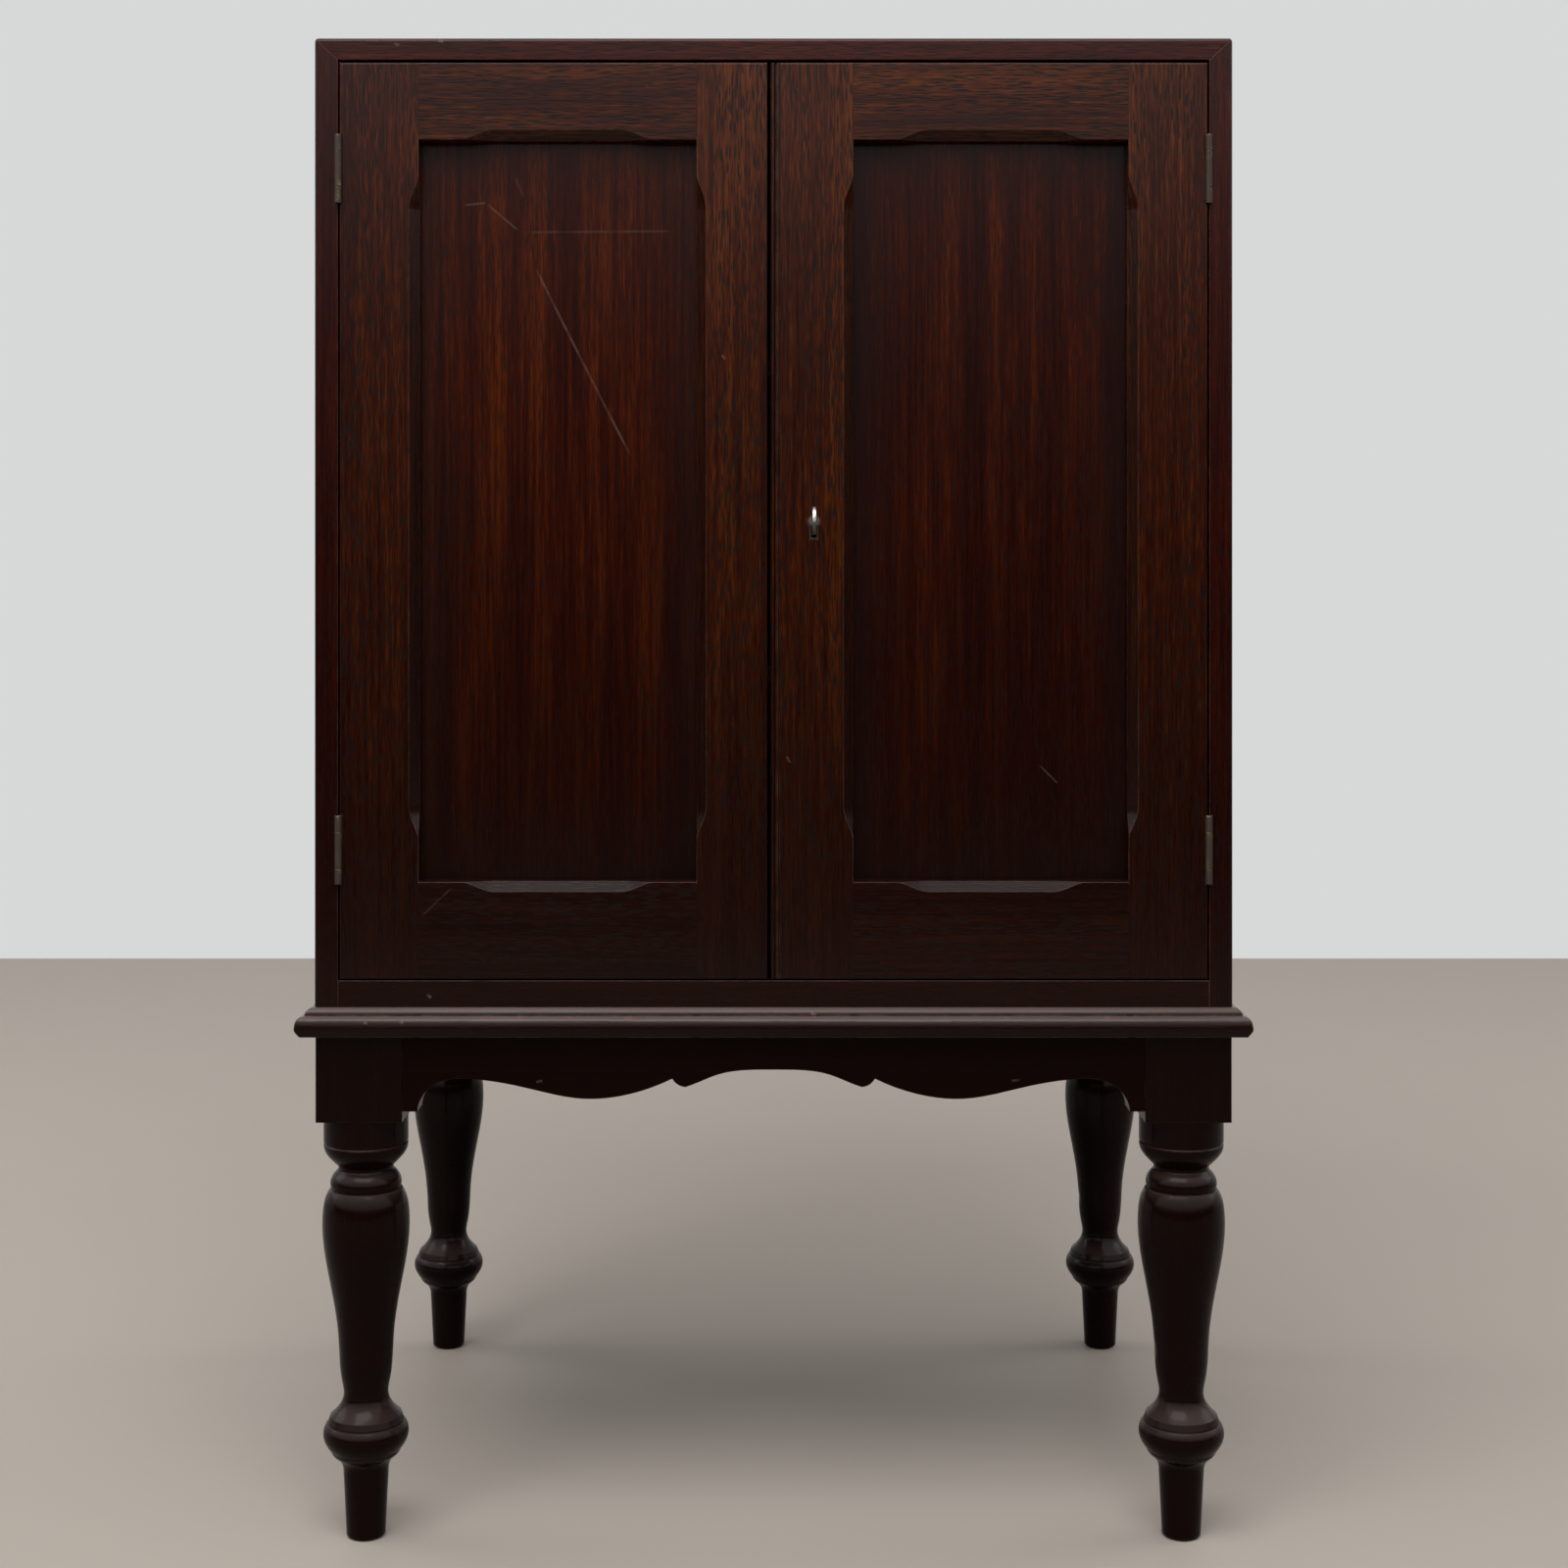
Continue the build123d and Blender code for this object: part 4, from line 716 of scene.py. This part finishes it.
MARKS = {
    "left_panel": [
        (curve((-137.9, 737.2), (-106.9, 675.2), (-81.5, 625.5), 0.0009), 0.42),
        (line((-178.0, 771.5), (-165.0, 773.0), 0.0009), 0.30),
        (line((-165.5, 772.6), (-146.4, 756.4), 0.0008), 0.32),
        (line((-146.4, 755.9), (-54.0, 756.6), 0.0010), 0.18),
        (line((-148.5, 787.0), (-144.0, 776.0), 0.0012), 0.20),
    ],
    "left_bottom_rail": [(line((-201.3, 363.4), (-183.4, 380.2), 0.0007), 0.22)],
    "left_closing_stile": [(line((-29.6, 684.4), (-27.6, 681.6), 0.0009), 0.50)],
    "right_closing_stile": [(line((7.4, 455.0), (9.6, 451.0), 0.0010), 0.60)],
    "right_panel": [(line((152.6, 449.5), (163.9, 438.2), 0.0007), 0.30)],
    "moulding_front": [
        (line((-145.5, 308.0), (-142.8, 305.6), 0.0012), 0.90),
        (line((-233.0, 304.4), (-230.5, 304.0), 0.0010), 0.70),
        (line((-212.3, 305.2), (-210.0, 304.2), 0.0011), 0.70),
        (line((-116.8, 307.6), (-115.0, 306.0), 0.0012), 0.80),
        (line((-85.4, 306.8), (-80.0, 306.4), 0.0012), 0.80),
        (line((21.0, 309.0), (24.5, 307.4), 0.0014), 0.90),
        (line((131.0, 307.4), (133.6, 305.8), 0.0011), 0.70),
        (line((188.0, 306.6), (191.5, 306.2), 0.0011), 0.60),
    ],
    "bottom_board": [(line((-198.0, 318.6), (-195.6, 316.8), 0.0012), 0.60)],
    "top_board": [
        (line((-216.8, 862.6), (-213.9, 861.0), 0.0012), 0.60),
        (line((-191.6, 864.0), (-188.4, 863.2), 0.0012), 0.60),
    ],
    "apron_front": [
        (line((136.0, 269.2), (141.0, 269.6), 0.0010), 0.45),
        (line((-136.0, 268.4), (-132.0, 269.2), 0.0010), 0.35),
    ],
}
print("marked boards:", ", ".join(MARKS))

# %% [markdown]
# ## Every piece gets its finish
#
# The grain of a board runs along its longest side, because wood is strong and steady only that
# way. So the direction can be measured on the piece, and only the tone is looked up, from the
# name that the piece's material has in the cabinet's own list.

# %% Give out the finishes
TONE_OF_SLOT = {
    "leg_mahogany": "leg",
    "apron_mahogany": "apron",
    "moulding_mahogany": "moulding",
    "carcass_mahogany": "carcass",
    "door_mahogany": "door",
    "panel_mahogany": "panel",
}
STAINS = {
    "shelf_wood": ((0.056, 0.022, 0.009), (0.022, 0.007, 0.003)),
    "secondary_wood": ((0.088, 0.038, 0.016), (0.036, 0.013, 0.006)),
}
PANEL_COVER = 0.008
slot_of = {part["node"]: part["material_slot"] for part in frame["record"]["subparts"]}


def grain_of(board):
    low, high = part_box(board)
    sides = high - low
    return "XYZ"[max(range(3), key=lambda side: sides[side])]


def finish_for(board):
    slot = slot_of[board]
    if slot in METALS:
        return METALS[slot]
    if slot in STAINS:
        return stained(board, grain_of(board), *STAINS[slot])
    grime_and_shade = frame_grime_and_shade(board, PANEL_COVER) if slot == "panel_mahogany" else None
    return polished(board, grain_of(board), TONE_OF_SLOT[slot], MARKS.get(board, ()), grime_and_shade)


for board, piece in frame["nodes"].items():
    material = finish_for(board)
    piece.data.materials.clear()
    piece.data.materials.append(material)
print("finished pieces:", len(frame["nodes"]))

# %% [markdown]
# ## The room
#
# The cabinet stands on a plain pale floor in front of a plain pale wall. The wall shows its own
# colour to the camera and to glossy surfaces and not how far the lamp is from it, so that it stays
# even without more light on the cabinet. The floor is an ordinary matt surface and keeps the
# cabinet's soft shadow.

# %% Floor and wall
WALL_DISTANCE = 1.983
ROOM_HALF_WIDTH = 5.0
FLOOR_FRONT = -2.4
WALL_HEIGHT = 4.0
FLOOR_COLOUR = (0.40, 0.352, 0.310)
WALL_COLOUR = (0.68, 0.69, 0.69)
FLOOR_DUST_COLOUR = (0.30, 0.27, 0.25)
FLOOR_DUST_SCALE = (3.0, 3.0, 3.0)


def flat_sheet(name, width, length, place, tilt, material):
    """A flat rectangle that lies level, or stands up where it is tilted."""
    grid = bmesh.new()
    bmesh.ops.create_grid(grid, x_segments=1, y_segments=1, size=0.5)
    bmesh.ops.scale(grid, vec=(width, length, 1), verts=grid.verts)
    bmesh.ops.rotate(grid, cent=(0, 0, 0), matrix=Matrix.Rotation(tilt, 3, "X"), verts=grid.verts)
    bmesh.ops.translate(grid, vec=place, verts=grid.verts)
    mesh = bpy.data.meshes.new(name)
    grid.to_mesh(mesh)
    grid.free()
    mesh.materials.append(material)
    sheet = bpy.data.objects.new(name, mesh)
    bpy.context.collection.objects.link(sheet)
    return sheet


def light_path(finish, ray):
    return finish.node("ShaderNodeLightPath", {}, {}, ray)


def background_rays(finish, mirror_share=1.0):
    """1 for rays that look at the background: straight, through glass or in a mirror."""
    straight = light_path(finish, "Is Camera Ray").most(light_path(finish, "Is Transmission Ray"))
    return straight.most(light_path(finish, "Is Glossy Ray") * mirror_share)


floor_finish = Finish(bpy.data.materials.new("floor_matt"))
dust = floor_finish.noise(floor_finish.place(), FLOOR_DUST_SCALE, detail=4.0).between(0.3, 0.7) * 0.06
floor_base = floor_finish.mix(dust, colour(*FLOOR_COLOUR), colour(*FLOOR_DUST_COLOUR))
floor_matt = floor_finish.finish_with({"Base Color": floor_base, "Roughness": 0.6, "Specular IOR Level": 0.2})

wall_finish = Finish(bpy.data.materials.new("wall_even"))
matt = wall_finish.node("ShaderNodeBsdfDiffuse", {}, {"Color": colour(*WALL_COLOUR)})
even = wall_finish.node("ShaderNodeEmission", {}, {"Color": colour(*WALL_COLOUR), "Strength": 1.0})
shown = wall_finish.node("ShaderNodeMixShader", {}, {0: background_rays(wall_finish), 1: matt, 2: even})
wall_finish.node("ShaderNodeOutputMaterial", {}, {"Surface": shown})

ROOM_WIDTH = 2 * ROOM_HALF_WIDTH
FLOOR_LENGTH = WALL_DISTANCE - FLOOR_FRONT
floor_middle = (0, (FLOOR_FRONT + WALL_DISTANCE) / 2, 0)
wall_middle = (0, WALL_DISTANCE, WALL_HEIGHT / 2)
flat_sheet("floor", ROOM_WIDTH, FLOOR_LENGTH, floor_middle, 0, floor_matt)
flat_sheet("wall", ROOM_WIDTH, WALL_HEIGHT, wall_middle, LEVEL_TURN, wall_finish.owner)
print("wall at", WALL_DISTANCE, "m behind the middle of the cabinet")

# %% [markdown]
# ## The light
#
# One large soft lamp hangs in front of the cabinet and above it, as ceiling lights do in a
# showroom. It is what draws the pale veil over the top rails. Around it is a dim room that is
# lighter overhead than at the height of the doors, so that polished fronts stay dark, and two weak
# lamps keep the sides readable.

# %% Lamps and the room's own light
def soft_lamp(name, place, target, size, power):
    lamp = bpy.data.lights.new(name, "AREA")
    lamp.shape = "RECTANGLE"
    lamp.size, lamp.size_y = size
    lamp.energy = power
    holder = bpy.data.objects.new(name, lamp)
    holder.location = place
    aim = Vector(target) - Vector(place)
    holder.rotation_euler = aim.to_track_quat("-Z", "Y").to_euler()
    bpy.context.collection.objects.link(holder)


MIDDLE = (0.0, 0.0, 0.55)
DIM_FRONT = colour(0.012, 0.012, 0.012)
PALE_CEILING = colour(0.88, 0.88, 0.88)
MIRRORED_GAIN = 1.3
BACKWARD = (-0.2, 0.5)
OVERHEAD = (0.05, 0.85)
OVERHEAD_MIRRORED = (0.09, 0.27)
LAMPS = {
    "lamp_overhead": ((-0.30, -1.3, 2.35), (2.0, 1.1), 44.0),
    "lamp_left": ((-2.6, 0.6, 1.7), (1.4, 1.4), 14.0),
    "lamp_right": ((2.6, 0.6, 1.7), (1.4, 1.4), 14.0),
}
for lamp_name, (lamp_place, lamp_size, lamp_power) in LAMPS.items():
    soft_lamp(lamp_name, lamp_place, MIDDLE, lamp_size, lamp_power)

sky = Finish(bpy.data.worlds.new("dim_room"))
direction = sky.node("ShaderNodeTexCoord", {}, {}, "Generated")
height = sky.axis(direction, "Z")
behind = sky.axis(direction, "Y").between(*BACKWARD)
mirrored = light_path(sky, "Is Glossy Ray")
soft_rise = height.between(*OVERHEAD)
lit = soft_rise + mirrored * (height.between(*OVERHEAD_MIRRORED) - soft_rise)
glow = sky.mix(lit.most(behind * 0.5), DIM_FRONT, PALE_CEILING)
shown_sky = sky.mix(background_rays(sky, behind), glow, colour(*WALL_COLOUR))
strength = 1 + mirrored * (1 - behind) * MIRRORED_GAIN
background = sky.node("ShaderNodeBackground", {}, {"Color": shown_sky, "Strength": strength})
sky.node("ShaderNodeOutputWorld", {}, {"Surface": background})
bpy.context.scene.world = sky.owner
print("lamps:", ", ".join(LAMPS), "aimed at", MIDDLE)
